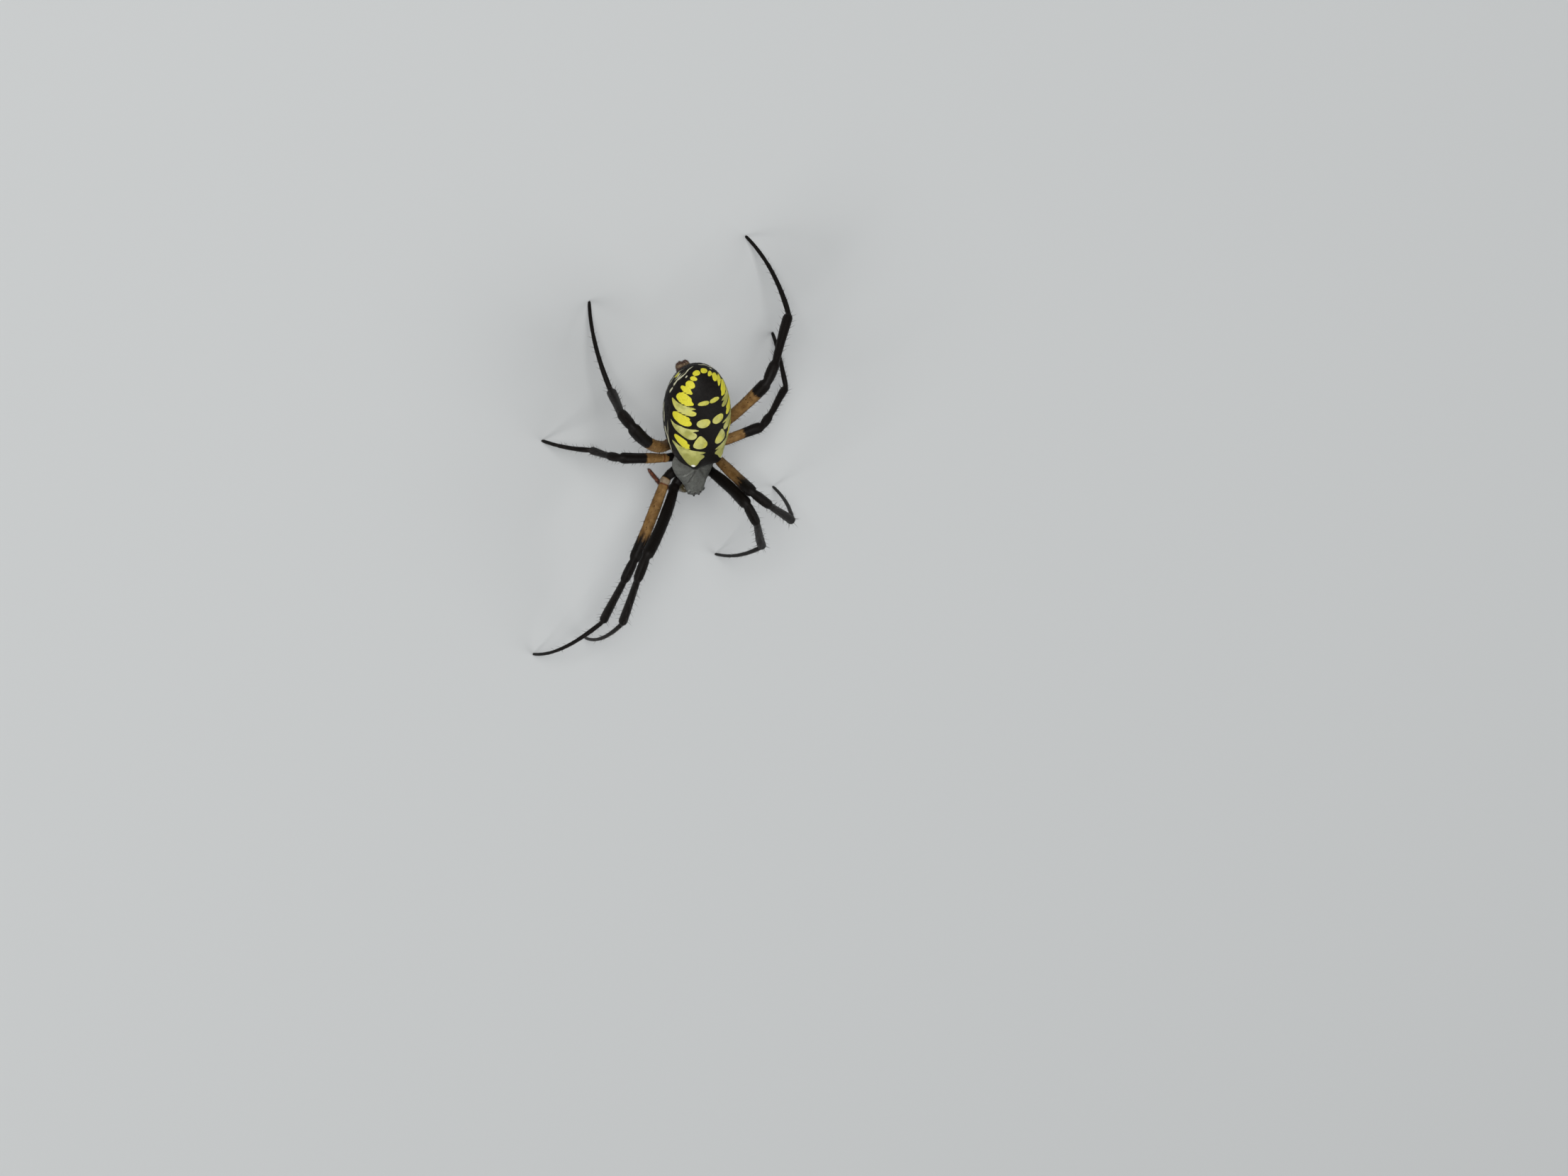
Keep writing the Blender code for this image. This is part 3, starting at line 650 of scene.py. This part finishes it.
def limb_marks(points, limbs):
    """Place along and around the nearest limb, and how far past the orange's end and the hip's ring it is."""
    tree = KDTree(sum(len(limb.points) for limb in limbs))
    owners = []
    for limb in limbs:
        for index, point in enumerate(limb.points):
            tree.insert(point, len(owners))
            owners.append((limb, index))
    tree.balance()
    rows = []
    for point in points:
        limb, index = owners[tree.find(point)[1]]
        off = point - limb.points[index]
        run = limb.run[index] + off @ limb.ways[index]
        place = np.interp(run, limb.run, limb.places)
        edge = run - limb.orange_run if place > 1 else 5
        rows.append((*limb.ways[index], run, off @ limb.tops[index], off @ limb.sides[index], edge, limb.fade,
                     run - limb.hip_run, place, limb.number))
    rows = np.array(rows)
    names = ("orange_edge", "orange_fade", "hip_run", "member", "limb_number")
    return {"limb_way": rows[:, :3], "limb_place": rows[:, 3:6], **dict(zip(names, rows[:, 6:].T))}


def put_values(mesh, values):
    """Writes numbers or vectors on a mesh's points, by name."""
    for name, numbers in values.items():
        kind = "FLOAT" if numbers.ndim == 1 else "FLOAT_VECTOR"
        layer = mesh.attributes.new(name, kind, "POINT")
        layer.data.foreach_set("value" if numbers.ndim == 1 else "vector", numbers.astype(np.float32).ravel())


# ---- the coat
class Ground:
    """The skin's triangles, with the markings of their points, for strands to grow from.

    The Boolean lists the shuffled region's faces in another order each run, so they are sorted here."""

    def __init__(self, skin, marks, shuffled):
        mesh = skin.data
        mesh.calc_loop_triangles()
        self.points = points_of(skin)
        self.marks = marks
        self.normals = read(mesh.vertices, "normal", np.float32, 3)
        self.triangles = read(mesh.loop_triangles, "vertices", np.int32, 3)
        names = np.array([material.name for material in mesh.materials])
        self.regions = names[read(mesh.loop_triangles, "material_index", np.int32, 1)[:, 0]]
        rows = np.flatnonzero(self.regions == shuffled)
        self.triangles[rows] = self.triangles[rows[np.lexsort(self.triangles[rows].T)]]
        a, b, c = (self.points[self.triangles[:, corner]] for corner in range(3))
        self.areas = np.linalg.norm(np.cross(b - a, c - a), axis=1) / 2
        self.middles = (a + b + c) / 3

    def sow(self, count, region, share):
        """Roots spread over a region, or the share of it that a rule picks: points, normals and markings."""
        weights = self.areas * (self.regions == region)
        if share:
            weights = weights * share(self.middles)
        chosen = random.choice(len(weights), count, p=weights / weights.sum())
        first, second = random.random((2, count))
        spread = np.sqrt(first)
        parts = np.stack([1 - spread, spread * (1 - second), spread * second], 1)
        corners = self.triangles[chosen]

        def blended(values):
            if values.ndim == 1:
                return (values[corners] * parts).sum(1)
            return (values[corners] * parts[:, :, None]).sum(1)
        marks = {name: blended(values) for name, values in self.marks.items()}
        return blended(self.points), unit(blended(self.normals)), marks


def strands(name, roots, ways, toward, lengths, width, rings, sides, marks, places, material):
    """Tapering strands, each closed at its root and pointed at its tip, as one piece.

    Each strand bends toward a vector, and its faces are a small patch of the map at its root's place."""
    count = len(roots)
    aside = unit(np.cross(ways, toward + 1e-5))
    over = np.cross(aside, ways)
    turns = np.arange(sides) / sides * 2 * math.pi
    points, offsets = [], []
    for ring in range(rings):
        reach = ring / rings
        middle = roots + (ways * (reach - STRAND_SUNK) + toward * reach ** 2) * lengths[:, None]
        for turn in turns:
            out = aside * math.cos(turn) + over * math.sin(turn)
            points.append(middle + out * width * (1 - reach) ** STRAND_TAPER)
            offsets.append((math.cos(turn) * (1 - reach), math.sin(turn) * (1 - reach)))
    points.append(roots + (ways + toward) * lengths[:, None])
    offsets.append((0, 0))
    each = len(points)
    faces = [tuple(reversed(range(sides)))]
    for ring in range(rings - 1):
        for side in range(sides):
            low, following = ring * sides, (side + 1) % sides
            faces.append((low + side, low + following, low + sides + following, low + sides + side))
    last = (rings - 1) * sides
    faces += [(last + side, last + (side + 1) % sides, each - 1) for side in range(sides)]
    starts = (np.arange(count) * each)[:, None, None]
    all_faces = []
    for size in sorted({len(face) for face in faces}):
        alike = np.array([face for face in faces if len(face) == size])
        all_faces += (alike + starts).reshape(-1, size).tolist()
    mesh = bpy.data.meshes.new(name)
    mesh.from_pydata(np.stack(points, 1).reshape(-1, 3).tolist(), [], all_faces)
    put_values(mesh, {key: np.repeat(values, each, axis=0) for key, values in marks.items()})
    spots = places[:, None] + np.array(offsets) * PATCH_SIZE / 2
    corners = read(mesh.loops, "vertex_index", np.int32, 1)[:, 0]
    uv = mesh.uv_layers.new(name="OFBake")
    uv.data.foreach_set("uv", spots.reshape(-1, 2)[corners].astype(np.float32).ravel())
    obj = bpy.data.objects.new(name, mesh)
    bpy.context.collection.objects.link(obj)
    return finished(obj, material)


def abdomen_map(roots, marks):
    """Where roots lie on an unwrap of the abdomen."""
    along, around = abdomen_place(roots)
    return np.stack([around / 360 + 0.5, along], 1) * 0.98 + 0.01


def body_map(roots, marks):
    """Where roots lie on an unwrap of the head and thorax, and of the jaws under them."""
    local = in_axes(roots, BODY_AXES)
    around = np.arctan2(local[:, 0], local[:, 2] - 0.4) / (2 * math.pi) + 0.5
    return np.stack([around, np.clip((local[:, 1] + 6) / 10, 0, 1)], 1) * 0.98 + 0.01


def limb_map(roots, marks):
    """Where roots lie on an unwrap of the limbs, side by side."""
    run, up, side = marks["limb_place"].T
    around = np.arctan2(side, up) / (2 * math.pi) + 0.5
    across = (np.round(marks["limb_number"]) + around) / len(LEGS)
    return np.stack([across, run / LIMB_MAP_LENGTH], 1) * 0.98 + 0.01


def coat(name, ground, region, lie, place, material, share, size):
    """Strands over a region, which lie along a vector, or else along their limb, and stand off the skin."""
    count, length, width, lift, bend = COATS[name]
    roots, normals, marks = ground.sow(count, region, share)
    along = marks["limb_way"] if lie is None else lie + 0 * roots
    along = unit(along - normals * (along * normals).sum(1, keepdims=True))
    along = unit(along + np.cross(normals, along) * random.normal(0, STRAND_STRAY, (count, 1)))
    rise = np.radians(random.uniform(*lift, (count, 1)))
    ways = along * np.cos(rise) + normals * np.sin(rise)
    lengths = random.uniform(*length, count)
    if size:
        lengths = lengths * size(marks)
    marks["strand_shade"] = random.random(count)
    return strands(name, roots, ways, normals * bend, lengths, width, STRAND_RINGS, STRAND_SIDES, marks,
                   place(roots, marks), material)


def make_spines(legs, material):
    """Long dark spines in loose rows along every leg."""
    roots, ways, lies, lengths, numbers = [], [], [], [], []
    for leg in legs:
        short = THIRD_LEG_SPINE if leg.name.startswith("leg_3") else 1.0
        for member, (shares, angles, longest) in SPINES.items():
            for share in shares:
                for angle in angles:
                    place = MEMBERS.index(member) + share + random.uniform(-SPINE_SHIFT, SPINE_SHIFT)
                    turn = random.uniform(-SPINE_TURN, SPINE_TURN)
                    spot, out, way = leg.at(place, math.radians(angle + turn))
                    rise = math.radians(random.uniform(*SPINE_RISE))
                    roots.append(spot)
                    ways.append(out * math.sin(rise) + way * math.cos(rise))
                    lies.append(way * SPINE_BEND)
                    lengths.append(longest * short * random.uniform(SHORTEST_SPINE, 1.0))
                    numbers.append((leg.run[-1] * place / len(MEMBERS), angle, leg.number))
    run, angle, number = np.array(numbers).T
    places = np.stack([(number + angle / 360 + 0.5) / len(LEGS), run / LIMB_MAP_LENGTH], 1)
    return strands("spines", np.array(roots), np.array(ways), np.array(lies), np.array(lengths),
                   SPINE_RADIUS, SPINE_RINGS, SPINE_SIDES, {}, places, material)


# ---- eyes, claws and fangs
def make_eyes(material):
    """Eight domed eyes on their places on the head."""
    for node in sorted(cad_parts):
        if node.startswith("eye_"):
            low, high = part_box(node)
            radius = max(high - low) / 2 / MM
            eye = ball(node.replace("eye_", "lens_"), (low + high) / 2 / MM, (radius,) * 3,
                       Matrix.Identity(4), 28, 20)
            finished(eye, material)
            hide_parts(node)


def hook(name, start, way, down, length, radius, sides=8):
    """A claw or fang: a thin cone that curls down."""
    shares = np.linspace(0, 1, 9)
    line = [start + way * length * share + down * length * 0.55 * share ** 2 for share in shares]
    return tube(name, line, [radius * (1 - share) ** 0.7 + 0.004 for share in shares], sides)


def make_claws(legs, material):
    """Two main claws and a small middle one at the tip of each foot."""
    hooks = []
    for leg in legs:
        start, way = leg.points[-1], leg.ways[-1]
        level = unit(way * (1, 1, 0))
        aside = np.cross(level, (0, 0, 1))
        for spread, length in CLAWS:
            tip_way = unit(level + aside * spread + (0, 0, CLAW_RISE))
            curl = np.array((0, 0, -CLAW_CURL))
            hooks.append(hook("claw", start - way * 0.05, tip_way, curl, length, CLAW_RADIUS))
    return finished(join(hooks, "claws"), material)


def make_fangs(material):
    """A fang folded in under each jaw."""
    hooks = []
    axes = np.array(BODY_AXES.to_3x3())
    for side in (-1, 1):
        mirror = np.array((side, 1, 1))
        start = np.array(BODY_AXES @ Vector(FANG_ROOT * mirror))
        way = axes @ unit(FANG_WAY * mirror)
        hooks.append(hook("fang", start, way, axes @ FANG_CURL, FANG_LENGTH, FANG_RADIUS, 12))
    return finished(join(hooks, "fangs"), material)


# ---- finishes
class Link:
    """A shader socket that takes Python's arithmetic."""

    def __init__(self, finish, socket):
        self.finish, self.socket = finish, socket

    def maths(self, operation, *values):
        return self.finish.node("ShaderNodeMath", values, operation=operation)

    def __add__(self, other):
        return self.maths("ADD", self, other)

    __radd__ = __add__

    def __sub__(self, other):
        return self.maths("SUBTRACT", self, other)

    def __rsub__(self, other):
        return self.maths("SUBTRACT", other, self)

    def __mul__(self, other):
        return self.maths("MULTIPLY", self, other)

    __rmul__ = __mul__

    def __truediv__(self, other):
        return self.maths("DIVIDE", self, other)

    def __pow__(self, other):
        return self.maths("POWER", self, other)

    def __abs__(self):
        return self.maths("ABSOLUTE", self)


class Finish:
    """A material, and the one way that nodes are put in it."""

    def __init__(self, name):
        self.material = bpy.data.materials.new(name)
        self.material.use_nodes = True
        self.tree = self.material.node_tree
        self.tree.nodes.clear()

    def node(self, kind, inputs=(), output=0, **settings):
        """Adds a node with its settings, feeds its sockets, and gives one of its outputs, if it has any."""
        node = self.tree.nodes.new(kind)
        for setting, value in settings.items():
            setattr(node, setting, value)
        pairs = inputs.items() if isinstance(inputs, dict) else enumerate(inputs)
        for place, value in pairs:
            if isinstance(value, Link):
                self.tree.links.new(value.socket, node.inputs[place])
            elif isinstance(value, tuple) and node.inputs[place].type == "RGBA":
                node.inputs[place].default_value = (*value, 1)
            else:
                node.inputs[place].default_value = value
        return Link(self, node.outputs[output]) if node.outputs else None

    def value(self, name):
        """A number written on the points."""
        return self.node("ShaderNodeAttribute", output=2, attribute_name=name)

    def vector(self, name):
        """A vector written on the points."""
        return self.node("ShaderNodeAttribute", output=1, attribute_name=name)

    def place(self):
        """Object coordinates in millimetres."""
        here = self.node("ShaderNodeTexCoord", output=3)
        return self.node("ShaderNodeVectorMath", {0: here, 3: 1 / MM}, operation="SCALE")

    def surface(self, colour, roughness, height=None, depth=0.02, **constants):
        """Ends the material in a Principled shader, with a bump so many millimetres deep."""
        inputs = {"Base Color": colour, "Roughness": roughness, **constants}
        if height is not None:
            inputs["Normal"] = self.node("ShaderNodeBump", {"Height": height, "Distance": depth * MM})
        shader = self.node("ShaderNodeBsdfPrincipled", inputs)
        self.node("ShaderNodeOutputMaterial", (shader,))
        return self.material


def split(vector):
    """A vector's three numbers."""
    apart = vector.finish.node("ShaderNodeSeparateXYZ", (vector,))
    return [Link(vector.finish, output) for output in apart.socket.node.outputs]


def joined(x, y, z):
    """A vector of three numbers."""
    return x.finish.node("ShaderNodeCombineXYZ", (x, y, z))


def noise(vector, scale, detail=2.0):
    """Cloudy noise from 0 to 1, with so many features a unit."""
    return vector.finish.node("ShaderNodeTexNoise", {"Vector": vector, "Scale": scale, "Detail": detail})


def cells(vector, scale):
    """Distance from the nearest of scattered dots."""
    return vector.finish.node("ShaderNodeTexVoronoi", {"Vector": vector, "Scale": scale})


def step(value, low, high):
    """0 up to low and 1 from high, softly between."""
    return value.finish.node("ShaderNodeMapRange", (value, low, high), interpolation_type="SMOOTHSTEP")


def mix(factor, first, second):
    """From the first colour to the second."""
    return factor.finish.node("ShaderNodeMix", {0: factor, 6: first, 7: second}, output=2, data_type="RGBA")


BRIGHT_YELLOW, DEEP_YELLOW = (0.80, 0.74, 0.055), (0.62, 0.56, 0.035)
BLACK, SOFT_BLACK = (0.0030, 0.0026, 0.0024), (0.010, 0.0075, 0.006)
PALE_YELLOW, OLIVE_YELLOW = (0.56, 0.55, 0.19), (0.35, 0.345, 0.09)
CREAM = (0.62, 0.60, 0.42)
SILVER, DULL_SILVER = (0.37, 0.38, 0.34), (0.17, 0.174, 0.153)
ORANGE_BROWN, DARK_ORANGE = (0.265, 0.152, 0.053), (0.160, 0.082, 0.026)
HUMP_WHITE, BREAST_YELLOW = (0.88, 0.88, 0.80), (0.62, 0.50, 0.10)
DOT_BROWN, RIM_RED = (0.045, 0.016, 0.006), (0.10, 0.022, 0.006)
HIP_BROWN, HIP_CREAM = (0.13, 0.085, 0.05), (0.36, 0.29, 0.20)
DARK_HAIR, GREY_HAIR, DULL_HAIR = (0.006, 0.005, 0.004), (0.40, 0.40, 0.38), (0.05, 0.048, 0.045)


def abdomen_colour(finish):
    """The abdomen's colour, with how much of it is patch and a height."""
    place = finish.place()
    coarse, fine = noise(place, 1.6, 3.0), noise(place, 6.5)
    edge = finish.value("patch_edge") + (coarse - 0.5) * 0.11 + (fine - 0.5) * 0.05
    patch = step(edge, 0.055, 0.000)
    paleness = finish.value("patch_pale")
    pale = step(paleness + (noise(place, 0.55) - 0.5) * 0.9, 0.10, 0.80)
    bright = mix(fine, DEEP_YELLOW, BRIGHT_YELLOW)
    dull = mix(step(noise(place, 0.8, 3.0), 0.35, 0.62), OLIVE_YELLOW, PALE_YELLOW)
    yellow = mix(pale, bright, dull)
    along, around = finish.value("abdomen_along"), finish.value("abdomen_around")
    # Front patches dulled towards olive: partly their own olive colour, partly painted shade on the front
    # slope that faces away from the light
    front = step(along, 0.37, 0.26) * step(paleness, 1.4, 1.2)
    yellow = mix(front * 0.78, yellow, OLIVE_YELLOW)
    yellow = mix(step(paleness, 1.1, 1.6), yellow, CREAM)
    yellow = mix(step(finish.value("hump_tip"), 0.42, 0.20), yellow, HUMP_WHITE)
    ribbon = joined(along * 5.5, around * 0.16, step(along, 0, 1))
    ends = step(along, 0.20, 0.34) * step(along, 0.90, 0.82)
    flank = step(around, 84, 94) * step(around, 138, 122) * ends
    streak = step(noise(ribbon, 1.0, 1.5), 0.585, 0.640) * flank
    ground = mix(noise(place, 3.0, 3.0), BLACK, SOFT_BLACK)
    ground = mix(streak, ground, CREAM)
    height = noise(place, 9.0, 3.0) + patch * 0.8
    return mix(patch, ground, yellow), patch, height


def abdomen_finish():
    """Slightly glossy black and yellow cuticle, with the patches a little raised."""
    finish = Finish("abdomen_cuticle")
    colour, patch, height = abdomen_colour(finish)
    return finish.surface(colour, 0.52 - 0.10 * patch, height, 0.030, **{"Specular IOR Level": 0.16})


def body_colour(finish):
    """Silver hair over dark cuticle above, and a dark underside with a yellow breast mark."""
    place = finish.place()
    across, back, up = split(finish.vector("body_place"))
    from_pit = back - PIT_BACK
    reach = (across * across + from_pit * from_pit + 0.02) ** 0.5
    fan = joined(across / reach * 3.2, from_pit / reach * 3.2, reach * 0.45)
    rays = step(noise(fan, 1.6, 3.0), 0.38, 0.66)
    cloud = noise(place, 2.4, 4.0)
    silver = mix(cloud * 0.55 + rays * 0.45, DULL_SILVER, SILVER)
    dark = mix(noise(place, 5.0, 3.0), (0.010, 0.007, 0.005), (0.040, 0.026, 0.018))
    top = step(up + (cloud - 0.5) * 0.25, 0.98, 1.16)
    pit = step((across * across + from_pit * from_pit * 0.12) ** 0.5, 0.16, 0.05)
    forth = abs(across) * math.sin(GROOVE_TURN) - from_pit * math.cos(GROOVE_TURN)
    off = abs(across) * math.cos(GROOVE_TURN) + from_pit * math.sin(GROOVE_TURN)
    groove = step(abs(off), 0.24, 0.05) * step(forth, 0.1, 0.7) * step(forth, 3.6, 2.4)
    colour = mix(top * (1 - pit * 0.8) * (1 - groove * 0.45), dark, silver)
    breast = step(abs(across) + (cloud - 0.5) * 0.2, 0.36, 0.28) * step(up, -0.75, -0.85)
    breast = breast * step(back, 1.6, 1.2) * step(back, -3.0, -2.8)
    return mix(breast, colour, BREAST_YELLOW), top, cloud


def body_finish():
    """Dark cuticle, dull where silver hair lies over it."""
    finish = Finish("head_and_thorax_cuticle")
    colour, top, cloud = body_colour(finish)
    height = noise(finish.place(), 14.0, 3.0) + cloud
    return finish.surface(colour, 0.40 + top * 0.25, height, 0.035)


def leg_colour(finish):
    """Orange-brown femora that fade to black legs, with cream trochanters and rows of dark dots."""
    run, up, side = split(finish.vector("limb_place"))
    around = joined(run, up, side)
    streaked = joined(run * 0.35, up * 2.8, side * 2.8)
    streaks = noise(streaked, 1.4, 3.0)
    fine = noise(joined(run * 0.8, up * 7.0, side * 7.0), 1.4, 2.0)
    ring = finish.value("hip_run")
    fade = finish.value("orange_fade")
    edge = finish.value("orange_edge") / fade + (streaks - 0.5) * 1.3 + (fine - 0.5) * 1.1
    orange = step(edge, 0.42, -0.42) * step(ring, -0.95, -0.75)
    mottled = mix(step(noise(around, 1.2, 3.0), 0.30, 0.70), DARK_ORANGE, ORANGE_BROWN)
    dots = step(cells(joined(run * 0.75, up, side), 1.7), 0.15, 0.10)
    mottled = mix(dots, mottled, DOT_BROWN)
    black = mix(noise(streaked, 2.0, 3.0), BLACK, SOFT_BLACK)
    colour = mix(orange, black, mottled)
    front_legs = step(finish.value("limb_number"), 3.6, 3.4)
    knuckle = step(ring, 0.06, -0.06) * step(ring, -0.85, -0.70) * front_legs
    rim = step(abs(ring), 0.16, 0.06) * orange
    pale = mix(noise(around, 2.0, 3.0), HIP_BROWN, HIP_CREAM)
    colour = mix(knuckle * orange, colour, pale)
    return mix(rim * 0.8, colour, RIM_RED), orange, streaks


def leg_finish():
    """Black and orange-brown cuticle with a lengthwise grain."""
    finish = Finish("leg_cuticle")
    colour, orange, streaks = leg_colour(finish)
    run, up, side = split(finish.vector("limb_place"))
    grain = noise(joined(run * 2.5, up * 9, side * 9), 1.0)
    height = noise(finish.place(), 12.0, 3.0) + grain
    rough = 0.42 + orange * 0.06 + (streaks - 0.5) * 0.15
    return finish.surface(colour, rough, height, 0.022, **{"Specular IOR Level": 0.10})


def plain_finish(name, first, second, roughness, scale=3.0, depth=0.02, **constants):
    """A mottled cuticle of two colours."""
    finish = Finish(name)
    place = finish.place()
    cloud = noise(place, scale, 3.0)
    colour = mix(step(cloud, 0.30, 0.70), first, second)
    height = noise(place, scale * 4, 3.0)
    return finish.surface(colour, roughness + (cloud - 0.5) * 0.15, height, depth, **constants)


def spinneret_finish():
    """Brown cuticle with a tan band around the collar's rim."""
    finish = Finish("spinneret_cuticle")
    place = finish.place()
    cloud = noise(place, 2.2, 3.0)
    brown = mix(cloud, (0.035, 0.014, 0.009), (0.12, 0.052, 0.032))
    reach = finish.value("spinneret_reach") + (cloud - 0.5) * 0.3
    band = step(reach, -0.05, 0.05) * step(reach, 0.42, 0.30)
    tan = mix(band * 0.75, brown, (0.28, 0.20, 0.11))
    return finish.surface(tan, 0.42, noise(place, 12.0, 3.0), 0.025)


def strand_finish(name, colour_of, darkness):
    """Hairs in the skin's own markings, some darker than others."""
    finish = Finish(name)
    colour = colour_of(finish)[0]
    shade = finish.value("strand_shade")
    colour = mix(step(shade, 0.25, 0.75) * darkness, colour, DARK_HAIR)
    return finish.surface(colour, 0.45, **{"Specular IOR Level": 0.09})


def carapace_strand_finish():
    """Silver hairs, some of them dull."""
    finish = Finish("silver_hair")
    colour = body_colour(finish)[0]
    shade = finish.value("strand_shade")
    colour = mix(step(shade, 0.45, 0.95) * 0.55, colour, GREY_HAIR)
    colour = mix(step(shade, 0.40, 0.10) * 0.30, colour, DULL_HAIR)
    return finish.surface(colour, 0.50, **{"Specular IOR Level": 0.35})


# ---- the scene
coats = {
    "body": body_finish(), "abdomen": abdomen_finish(), "spinnerets": spinneret_finish(),
    "legs": leg_finish(),
    "palps": plain_finish("palp_cuticle", (0.030, 0.010, 0.006), (0.15, 0.045, 0.018), 0.32),
    "jaws": plain_finish("jaw_cuticle", (0.045, 0.034, 0.012), (0.125, 0.100, 0.045), 0.28)}
legs = [trace_leg(name) for name in LEGS]
palps = [trace_route("palp", PALP_ROUTE, PALP_RADII, side, PALP_JOINTS) for side in (-1, 1)]
jaws = [trace_route("jaw", JAW_ROUTE, JAW_RADII, side) for side in (-1, 1)]
skin = make_skin(legs, palps, jaws, coats)
points = points_of(skin)
spinneret_way = np.array((SPINNERET_TIP - SPINNERET_ROOT).normalized())
marks = {**abdomen_marks(points), **limb_marks(points, legs + palps),
         "body_place": in_axes(points, BODY_AXES),
         "spinneret_reach": (in_axes(points, ABDOMEN_AXES) - np.array(SPINNERET_ROOT)) @ spinneret_way}
put_values(skin.data, marks)
ground = Ground(skin, marks, coats["abdomen"].name)

toward_rear = np.array(ABDOMEN_AXES.to_3x3()) @ (0, 1, 0)
toward_front = np.array(BODY_AXES.to_3x3()) @ (0, -1, 0)
toward_floor = np.array(BODY_AXES.to_3x3()) @ (0, 0, -1)


def above_edge(middles):
    """Which triangles are on the carapace's top."""
    return in_axes(middles, BODY_AXES)[:, 2] > CARAPACE_HAIR_FROM


def below_edge(middles):
    """Which triangles are on the flanks and underside."""
    return in_axes(middles, BODY_AXES)[:, 2] < UNDERSIDE_HAIR_TO


def foot_shorter(marks):
    """Hairs are shorter towards the tip of a foot."""
    return np.interp(marks["member"], (0, 4, 5), (1.0, 0.9, 0.5))


palp_hair = plain_finish("palp_hair", (0.01, 0.006, 0.005), (0.05, 0.02, 0.01), 0.4)
jaw_hair = plain_finish("jaw_hair", (0.01, 0.008, 0.005), (0.04, 0.03, 0.015), 0.4)
spinneret_hair = plain_finish("spinneret_hair", (0.02, 0.01, 0.005), (0.10, 0.05, 0.02), 0.4)
hairs = (
    ("abdomen_hair", "abdomen", toward_rear, abdomen_map, strand_finish("abdomen_hair", abdomen_colour, 0.15),
     "abdomen_yellow_black", None, None),
    ("carapace_hair", "body", toward_front, body_map, carapace_strand_finish(), "carapace_silver",
     above_edge, None),
    ("underside_hair", "body", toward_rear, body_map, strand_finish("underside_hair", body_colour, 0.4),
     "underside_brown", below_edge, None),
    ("leg_hair", "legs", None, limb_map, strand_finish("leg_hair", leg_colour, 1.0), "shin_black",
     None, foot_shorter),
    ("palp_hair", "palps", None, limb_map, palp_hair, "palp_brown", None, None),
    ("jaw_hair", "jaws", toward_floor, body_map, jaw_hair, "jaw_olive", None, None),
    ("spinneret_hair", "spinnerets", toward_rear, abdomen_map, spinneret_hair, "spinneret_tan", None, None))
for name, part, lie, place, material, slot, share, size in hairs:
    coat(name, ground, coats[part].name, lie, place, material, share, size)

horn = plain_finish("dark_horn", (0.008, 0.005, 0.004), (0.030, 0.014, 0.008), 0.24)
make_spines(legs, horn)
make_claws(legs, horn)
make_fangs(horn)
make_eyes(plain_finish("eye_lens", (0.004, 0.003, 0.003), (0.012, 0.009, 0.008), 0.06, depth=0.0,
                       **{"Coat Weight": 0.8, "Coat Roughness": 0.03}))
finished(skin)
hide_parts(*[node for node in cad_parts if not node.startswith("eye_")])

# ---- floor, lights and camera
FLOOR_GREY = (0.53, 0.54, 0.535)
SKY, SKY_STRENGTH = (0.80, 0.84, 0.90, 1), 0.24
bpy.ops.mesh.primitive_plane_add(size=3.0, location=(0, 0, 0))
floor = bpy.context.active_object
floor.name = "floor"
floor_finish = Finish("pale_floor")
floor.data.materials.append(floor_finish.surface(FLOOR_GREY, 0.75))

world = bpy.data.worlds.new("studio")
world.use_nodes = True
world.node_tree.nodes["Background"].inputs["Color"].default_value = SKY
world.node_tree.nodes["Background"].inputs["Strength"].default_value = SKY_STRENGTH
bpy.context.scene.world = world
bpy.context.scene.view_settings.view_transform = "Standard"


def add_light(name, azimuth, elevation, distance, size, power):
    """A soft square light that looks at the spider."""
    light = bpy.data.lights.new(name, "AREA")
    light.size, light.energy = size, power
    obj = bpy.data.objects.new(name, light)
    obj.location = facing(azimuth, elevation)[0] * distance
    obj.rotation_mode = "QUATERNION"
    obj.rotation_quaternion = obj.location.to_track_quat("Z", "Y")
    bpy.context.scene.collection.objects.link(obj)


add_light("key", 200, 62, 0.9, 0.45, 5.3)
add_light("fill", 60, 45, 0.9, 0.60, 2.2)
add_light("rim", -60, 35, 0.8, 0.30, 1.7)

CAMERA_AZIMUTH, CAMERA_ELEVATION, CAMERA_ROLL = -147.898, 64.724, 140.673
CAMERA_DISTANCE = 0.42343       # metres from the floor's point under the body
SENSOR, LENS = 36.0, 69.98
AIM = (-0.0735, 0.0991)         # that point's place in the camera's view, from its middle, in view widths
back, level = facing(CAMERA_AZIMUTH, CAMERA_ELEVATION)
roll = math.radians(CAMERA_ROLL)
right = level * math.cos(roll) + back.cross(level) * math.sin(roll)
upright = Matrix((right, back.cross(right), back)).transposed()
sight = Vector((AIM[0] * SENSOR, AIM[1] * SENSOR, -LENS)).rotation_difference(Vector((0, 0, -1)))
camera_data = bpy.data.cameras.new("camera")
camera_data.sensor_width, camera_data.lens = SENSOR, LENS
camera_data.clip_start = 0.01
camera = bpy.data.objects.new("camera", camera_data)
camera.location = BODY_FOOT * MM + back * CAMERA_DISTANCE
camera.rotation_mode = "QUATERNION"
camera.rotation_quaternion = upright.to_quaternion() @ sight
bpy.context.scene.collection.objects.link(camera)
bpy.context.scene.camera = camera
